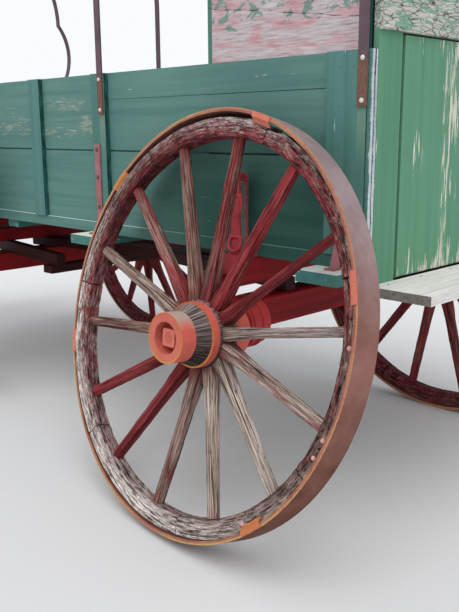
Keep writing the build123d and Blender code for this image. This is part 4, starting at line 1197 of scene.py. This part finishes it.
def hub_grid(wheel, random):
    """The skin of one hub, its turned outline carried round the axle."""
    seed = wheel.number + 1
    turn = np.linspace(0, 2 * pi, HUB_COLUMNS, endpoint=False)[None, :]
    radius, level = (np.repeat(column[:, None], HUB_COLUMNS, axis=1) for column in divided(HUB_OUTLINE).T)
    around = turn * HUB_ROUND + 0 * level
    ranges = ((-0.12, 0.10), (0.05, 0.15), (0, 2 * pi * HUB_ROUND), (0.0018, 0.0036))
    split = cracks(random, HUB_CRACKS, level, around, ranges, 0.0012)
    place = [level / HUB_SWELL, np.cos(turn) * 22 + 0 * level, np.sin(turn) * 22 + seed * 9 + 0 * level]
    swell = cloth_of_noise(np.stack(place, axis=-1))
    seats = [(level > low) & (level < high) & (radius < BAND_SEAT_RADIUS) for low, high in BAND_SEATS]
    outside = (radius > OUTSIDE_RADIUS) & ~np.any(seats, axis=0)
    inside = (radius > RECESS_WALL[0]) & (radius < RECESS_WALL[1]) & (level > RECESS_START)
    radius = radius + np.where(outside, HUB_GRAIN * swell - HUB_CRACK_DEPTH * split, 0)
    radius = radius + np.where(inside, RECESS_GRAIN * swell, 0)
    points, away = around_wheel(wheel.hub, turn, radius, level)
    grain = np.stack([level, around, np.full(level.shape, seed * 4.1)], axis=-1)
    wear = HUB_WEAR + 0.3 * swell[..., None] * (0.3, 1, 1) + away[..., 2:] * HUB_UPWARD_WEAR
    return points, grain, np.clip(wear, 0, 1)


def paint_nose(mesh, hub):
    """The painted finish for the faces of the nose's end and of the recess in it."""
    mesh.materials.append(finishes["salmon painted elm"])
    offsets = np.array([face.center for face in mesh.polygons]) - hub[0]
    level = offsets @ hub[3]
    radius = np.linalg.norm(offsets - level[:, None] * hub[3], axis=1)
    painted = (level > PAINTED_END) | ((radius < RECESS_RADIUS) & (level > RECESS_PLACE))
    mesh.polygons.foreach_set("material_index", painted.astype(np.int32))


hub_random = np.random.default_rng(21)
for wheel in wheels:
    piece = dress_wheel(wheel, "hub", "split hub elm", [hub_grid(wheel, hub_random)], rings=True)
    paint_nose(piece.data, wheel.hub)

# %% [markdown]
# ## Heads of bolts and nails
# A wagon is held by hundreds of small heads: domed bolts on the bows and braces, rivets, and nails along
# each board. One node group sets a head on every point of a cloud, turns it to the direction stored there,
# spins it by a fixed seed and scales it by a stored size. The result is frozen to a mesh for each body, so
# it can ride.

# %% A node group that sets heads
# Each profile is radius and height in units of the head's radius, and starts a little below the surface
DOME = [(0, -0.2), (1, -0.2), (1, 0.1), (0.86, 0.34), (0.55, 0.52), (0, 0.6)]
NAIL = [(0, -0.2), (1, -0.2), (1, 0.12), (0.8, 0.24), (0, 0.3)]


def head_shape(name, profile, sides):
    """A closed lathe shape from radius and height pairs that start and end on the axis."""
    points, rows, faces = [], [], []
    for radius, height in profile:
        count = sides if radius else 1
        rows.append(range(len(points), len(points) + count))
        angles = [2 * pi * k / sides for k in range(count)]
        points += [(radius * cos(angle), radius * sin(angle), height) for angle in angles]
    for low, high in zip(rows, rows[1:]):
        for k in range(sides):
            around = ((low, k), (low, k + 1), (high, k + 1), (high, k))
            corners = [row[place % len(row)] for row, place in around]
            faces.append(tuple(dict.fromkeys(corners)))
    mesh = bpy.data.meshes.new(name)
    mesh.from_pydata(points, [], faces)
    return settled(name, mesh)


def heads_group():
    """The node group: a head on every point, turned, spun, scaled, made real and given its finish."""
    tree = bpy.data.node_groups.new("heads on points", "GeometryNodeTree")
    named = {"Cloud": "Geometry", "Head": "Object", "Seed": "Int", "Spin": "Float", "Finish": "Material"}
    for name, kind in named.items():
        tree.interface.new_socket(name=name, in_out="INPUT", socket_type="NodeSocket" + kind)
    tree.interface.new_socket(name="Heads", in_out="OUTPUT", socket_type="NodeSocketGeometry")
    add = partial(add_node, tree)
    given = add("NodeGroupInput").node.outputs
    head = add("GeometryNodeObjectInfo", sockets={"Object": given["Head"]}).node.outputs["Geometry"]
    aim = add("GeometryNodeInputNamedAttribute", "aim", data_type="FLOAT_VECTOR")
    size = add("GeometryNodeInputNamedAttribute", "size", data_type="FLOAT")
    turn = add("FunctionNodeRandomValue", 0.0, given["Spin"], None, given["Seed"], data_type="FLOAT")
    spin = add("FunctionNodeEulerToRotation", add("CombineXYZ", None, None, turn))
    facing = add("FunctionNodeAlignRotationToVector", sockets={"Vector": aim}, axis="Z")
    both = add("FunctionNodeRotateRotation", facing, spin, rotation_space="LOCAL")
    placing = {"Instance": head, "Rotation": both, "Scale": size}
    placed = add("GeometryNodeInstanceOnPoints", given["Cloud"], sockets=placing)
    real = add("GeometryNodeRealizeInstances", placed)
    add("NodeGroupOutput", add("GeometryNodeSetMaterial", real, sockets={"Material": given["Finish"]}))
    return tree


HEADS = {"dome": head_shape("dome_head", DOME, 14), "nail": head_shape("nail_head", NAIL, 10)}
HEADS_TREE = heads_group()
print("heads:", ", ".join(HEADS))

# %% Set heads on points
HEAD_SPIN = 2 * pi
HEAD_SEED = 3


def set_heads(name, body, kind, finish, places):
    """Heads at rows of (point, direction, radius), as one mesh that rides on a body."""
    points, aims, sizes = zip(*places)
    cloud_mesh = bpy.data.meshes.new(name)
    cloud_mesh.from_pydata([tuple(point) for point in points], [], [])
    aim = cloud_mesh.attributes.new("aim", "FLOAT_VECTOR", "POINT")
    aim.data.foreach_set("vector", np.array(aims, np.float32).ravel())
    cloud_mesh.attributes.new("size", "FLOAT", "POINT").data.foreach_set("value", np.array(sizes, np.float32))
    cloud = bpy.data.objects.new("cloud of points", cloud_mesh)
    scene.collection.objects.link(cloud)
    modifier = cloud.modifiers.new("heads", "NODES")
    modifier.node_group = HEADS_TREE
    given = {"Head": HEADS[kind], "Seed": HEAD_SEED, "Spin": HEAD_SPIN, "Finish": finishes[finish]}
    for item in HEADS_TREE.interface.items_tree:
        if item.name in given:
            modifier[item.identifier] = given[item.name]
    state = bpy.context.evaluated_depsgraph_get()
    mesh = bpy.data.meshes.new_from_object(cloud.evaluated_get(state))
    bpy.data.objects.remove(cloud)
    mesh.name = name
    piece = bpy.data.objects.new(name, mesh)
    scene.collection.objects.link(piece)
    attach(piece, body)
    print(name, len(places), "heads")


# %% [markdown]
# ## Bolts of the bows and braces, nails of the boards
# The bows are bolted through the cleats with pale round heads, two to a leg. Braces hold by dark ones. The
# boards are nailed to every cleat and plank, two nails to a board, a little out of line as a hand sets
# them.

# %% Heads on the bed
CLEAT_OUTER = 0.5225
BOW_OUTER = 0.5301
BRACE_OUTER = 0.5285
FLOOR_TOP = 0.865
BOARD_PITCH = 0.1924
BOW_STATIONS = (0.443, -0.757, -1.675, -2.640)
BOW_BOLT_LEVELS = (1.422, 1.311)
CLEAT_MIDDLES = (-2.690, -1.6975, -1.237, -0.7805, 0.386)
CLEAT_NAIL_OFFSETS = (-0.024, 0.026)
BRACE_HOLES = [(0.377, (1.050, 0.935)), (-0.791, (1.165, 1.060, 0.945))]
BOARD_LEVELS = (0.915, 1.020, 1.125, 1.195, 1.300, 1.405)
PLANK_MIDDLES = (-1.515, -0.795, 0.365)
SIDES = (-1, 1)

nail_random = np.random.default_rng(5)


def jitter(amount=0.004):
    """How far out of line a head is set."""
    return nail_random.uniform(-amount, amount)


bow_bolts = [((REAR_X + x + jitter(0.002), side * BOW_OUTER, z), (0, side, 0), 7.0 * MM)
             for x in BOW_STATIONS for side in SIDES for z in BOW_BOLT_LEVELS]
set_heads("bow_bolt_heads", "wagon", "dome", "pale bolt zinc", bow_bolts)

brace_bolts = [((REAR_X + x, side * BRACE_OUTER, z), (0, side, 0), 9.0 * MM)
               for x, levels in BRACE_HOLES for side in SIDES for z in levels]
set_heads("brace_bolt_heads", "wagon", "dome", "bare dark iron", brace_bolts)

cleat_nails = [((REAR_X + x + offset + jitter(), side * CLEAT_OUTER, z + jitter()), (0, side, 0), 3.4 * MM)
               for x in CLEAT_MIDDLES for side in SIDES
               for z in BOARD_LEVELS for offset in CLEAT_NAIL_OFFSETS]
set_heads("cleat_nail_heads", "wagon", "nail", "teal painted upright pine", cleat_nails)

floor_nails = [((REAR_X + x + jitter(0.02), board * BOARD_PITCH + offset + jitter(), FLOOR_TOP), (0, 0, 1),
                3.8 * MM)
               for x in PLANK_MIDDLES for board in range(-2, 3) for offset in (-0.06, 0.06)]
set_heads("floor_nail_heads", "wagon", "nail", "bare dark iron", floor_nails)

# %% Heads on the chuck box and shelf
WALL_OUTER = REAR_X + 0.465
HEADER_OUTER = WALL_OUTER + 0.012
SHELF_TOP = 0.796
SHELF_NAIL_OFFSET = 0.022

wall_nails = [((WALL_OUTER, side * y + jitter(), z + jitter(0.01)), (1, 0, 0), 3.4 * MM)
              for side in SIDES for z in np.linspace(0.86, 1.44, 6) for y in (0.395, 0.466)]
wall_nails += [((HEADER_OUTER, y + jitter(0.01), z + jitter()), (1, 0, 0), 3.6 * MM)
               for y in np.linspace(-0.45, 0.45, 7) for z in (1.53, 1.70)]
set_heads("rear_wall_nail_heads", "wagon", "nail", "peeling green pine", wall_nails)

lid_nails = [((WALL_OUTER, y + jitter(), z + jitter()), (1, 0, 0), 3.4 * MM)
             for y in np.linspace(-0.33, 0.33, 7) for z in (0.86, 1.45)]
set_heads("lid_nail_heads", "chuck_lid", "nail", "peeling green pine", lid_nails)

shelf_nails = [((WALL_OUTER + SHELF_NAIL_OFFSET, y + jitter(0.01), SHELF_TOP), (0, 0, 1), 3.6 * MM)
               for y in np.linspace(-0.44, 0.44, 6)]
set_heads("shelf_nail_heads", "wagon", "nail", "bare dark iron", shelf_nails)

# %% [markdown]
# ## Rods, rings and plates
# Round iron is swept along a line of points: at each point a small ring of vertices stands square to the
# line. Shackles hang from pins through the stake irons, and each singletree ends in a ferrule with an open
# hook for the trace chain.

# %% Rods and what they make
STAKE_OUTER = 0.569
SHACKLE_ROD = 0.0050
PIN_HALF = 0.029
# Columns: shift along the wagon, height of the pin, half width, drop
SHACKLE_ROWS = [(0.003, 1.036, 0.033, 0.070), (0.002, 0.904, 0.026, 0.046)]
FERRULE_STEP = 0.0085
FERRULE_RADII = [0.0195, 0.0212, 0.0206, 0.0200, 0.0198, 0.0170]
HOOK_RADIUS = 0.017
HOOK_ROD = [0.0055] * 12 + [0.0050, 0.0045, 0.0040, 0.0032]


def tube(points, radius, columns=10):
    """A rod along points as one grid. The radius may change along it."""
    line = np.array(points, float)
    ahead = np.gradient(line, axis=0)
    ahead /= np.linalg.norm(ahead, axis=1)[:, None]
    helper = (0.0, 0.0, 1.0) if abs(ahead[0][2]) < 0.9 else (1.0, 0.0, 0.0)
    across = unit(np.cross(ahead[0], helper))
    turn = np.linspace(0, 2 * pi, columns, endpoint=False)[:, None]
    rows = []
    for middle, way, size in zip(line, ahead, np.broadcast_to(radius, (len(line),))):
        across = unit(across - way * np.dot(across, way))
        rows.append(middle + size * (np.cos(turn) * across + np.sin(turn) * np.cross(way, across)))
    return plain(rows)


def shackle(x, side, top, half, drop):
    """A bulged loop of round iron on a pin across the stake iron, swung out a little at its foot."""
    lean = unit(np.array((0.0, side * 0.28, -1.0)))
    eye = np.array((x, side * (STAKE_OUTER + 0.001), top))
    turns = np.linspace(radians(-62), radians(242), 27)
    ring = [eye + (half * cos(a), 0, 0) + lean * drop * (0.47 + 0.53 * sin(a)) for a in turns]
    pin = [eye + (reach, 0, 0) for reach in np.linspace(-PIN_HALF, PIN_HALF, 4)]
    return [tube(ring, SHACKLE_ROD), tube(pin, SHACKLE_ROD * 1.15)]


def ferrule_and_hook(x, end, z, way):
    """A turned ferrule on a singletree's end, and the open hook that stands out of it."""
    ferrule = [(x, end + way * (k * FERRULE_STEP - 0.040), z) for k in range(6)]
    stem = [(x, end + way * (k * 0.004 - 0.002), z) for k in range(2)]
    bend = [(x - HOOK_RADIUS + HOOK_RADIUS * cos(a), end + way * (0.008 + HOOK_RADIUS * sin(a)), z)
            for a in np.linspace(0, 4.0, 14)]
    return [tube(ferrule, FERRULE_RADII, 20), tube(stem + bend, HOOK_ROD)]


shackles = [grid for x in (REAR_X, FRONT_X) for side in SIDES for shift, *sizes in SHACKLE_ROWS
            for grid in shackle(x + shift, side, *sizes)]
dress(grid_object("stake_shackles", shackles), "worn stake iron", "wagon", "gear_iron")

for name in ("left_singletree", "right_singletree"):
    low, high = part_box(name)
    middle = (low + high) / 2
    grids = ferrule_and_hook(middle.x, low.y, middle.z, -1) + ferrule_and_hook(middle.x, high.y, middle.z, 1)
    dress(grid_object(f"{name}_ferrules", grids), "bare dark iron", name, "gear_iron")

# %% [markdown]
# ## Strap braces and a shade board
# Flat iron runs down a cleat, bends out and ends in a foot on the plank's end. The two at the rear are
# shorter in the photograph than the front ones. Each strap is a bevelled outline carried along pairs of
# points, one on its inner and one on its outer face. The shade board is a sawn board in the shaded red,
# set below the lid so that the gap there shows painted shade.

# %% Strap braces of the bed
BRACE_WIDTH = 0.034
# Columns: strap's front edge, height of its top
BRACE_ROWS = [(REAR_X + 0.360, 1.078), (REAR_X - 0.808, 1.186)]
# Inner and outer points below the top, as distance from the middle and height
BRACE_POINTS = [(0.5225, 0.905, 0.5285, 0.905), (0.540, 0.840, 0.546, 0.846), (0.572, 0.840, 0.572, 0.846)]
# Bevelled section: share of the width, share of the thickness
BRACE_SECTION = [(0, 0.25), (0, 0.75), (0.04, 1), (0.96, 1), (1, 0.75), (1, 0.25), (0.96, 0), (0.04, 0)]
BRACE_STEPS = 8
# The shade board lies against the rear edge of the last cross plank's underside, as painted shade in the gap
SHADE_BOARD_CORNERS = ((REAR_X + 0.416, -0.340, 0.7745), (REAR_X + 0.439, 0.340, 0.8046))
ARRIS = 0.002
SAW_WAVE = 0.0008


def strap_grid(x, side, top):
    """A bevelled strap on one side of the bed."""
    table = np.array([(CLEAT_OUTER, top, BRACE_OUTER, top)] + BRACE_POINTS)
    bends = np.arange(len(table))
    stations = np.linspace(0, bends[-1], bends[-1] * BRACE_STEPS + 1)
    rows = []
    line = zip(*(np.interp(stations, bends, column) for column in table.T))
    for inner_y, inner_z, outer_y, outer_z in line:
        rows.append([(x + BRACE_WIDTH * share, side * (inner_y + (outer_y - inner_y) * deep),
                      inner_z + (outer_z - inner_z) * deep) for share, deep in BRACE_SECTION])
    return plain(rows)


def board_grid(low, high, seed):
    """A sawn board between two corners, its arrises eased, its length along y."""
    (x0, y0, z0), (x1, y1, z1) = low, high
    section = [(x0 + ARRIS, z0), (x1 - ARRIS, z0), (x1, z0 + ARRIS), (x1, z1 - ARRIS),
               (x1 - ARRIS, z1), (x0 + ARRIS, z1), (x0, z1 - ARRIS), (x0, z0 + ARRIS)]
    return plain([[(x + SAW_WAVE * noise.noise((y * 9, x * 60, seed)), y, z) for x, z in section]
                  for y in np.linspace(y0, y1, 40)])


# Painted shade: a dark board in the gap below the lid.
shade_board = grid_object("tail_ledger", [board_grid(*SHADE_BOARD_CORNERS, 4)])
dress(shade_board, "dark red gear timber", "wagon", "gear_wood")
straps = [strap_grid(x, side, top) for x, top in BRACE_ROWS for side in SIDES]
dress(grid_object("worn_side_braces", straps), "faded red strap iron", "wagon", "gear_iron", "side_braces")

# %% [markdown]
# ## Clips on the loose tyre
# The left rear tyre is loose on its rim, so someone bent short plates round its edge and onto the rim's
# face. Each clip is one bent outline swept along a short arc of the wheel, and the angles are read from the
# photograph.

# %% Tyre clips and their rivets
# Outline of a clip in radius inside the tyre's outer face and place along the axis
CLIP_OUTLINE = np.array([
    (-0.030, 0.0312), (-0.0262, 0.0312), (-0.0142, 0.0452), (-0.0008, 0.0452), (-0.0008, 0.0484),
    (-0.0150, 0.0484), (-0.0262, 0.0350), (-0.030, 0.0350),
])
CLIP_STATIONS = 9
# Columns: middle angle, width in metres, finish
CLIP_ROWS = [
    (74.8, 0.080, "salmon clip iron"), (140.3, 0.085, "orange clip iron"), (17.9, 0.088, "salmon clip iron"),
    (-163.6, 0.085, "salmon clip iron"), (-49.5, 0.080, "orange clip iron"),
]
RIVET_RADIUS = 0.618
RIVET_LEVEL = 0.0312
RIVET_ANGLES = (5.1, -18.1, -23.2, -53.6)


def clip_grid(wheel, degrees, width):
    """The outline of a clip, carried along a short arc of the tyre."""
    half = width / 2 / wheel.radius
    angles = np.linspace(radians(degrees) - half, radians(degrees) + half, CLIP_STATIONS)[:, None]
    radius, level = CLIP_OUTLINE.T[:, None, :]
    return plain(around_wheel(wheel.tyre, angles, wheel.radius + radius, level)[0])


def clip_rivet(wheel, degrees):
    """Point, direction and radius of a rivet on the face of the tilted rim."""
    spot, axis, _, _ = turned(wheel.rim, radians(degrees), RIVET_RADIUS)
    return spot + axis * (RIVET_LEVEL - RIM_TILT * cos(radians(degrees))), axis, 7.0 * MM


for number, (degrees, width, finish) in enumerate(CLIP_ROWS):
    clip = grid_object(f"rear_left_tyre_clip_{number}", [clip_grid(wheels[0], degrees, width)])
    dress(clip, finish, "rear_left_wheel", "band_iron")
rivets = [clip_rivet(wheels[0], degrees) for degrees in RIVET_ANGLES]
set_heads("rear_left_clip_rivets", "rear_left_wheel", "dome", "pink washed rivet iron", rivets)
for head in HEADS.values():
    bpy.data.objects.remove(head)
print("clips are on")
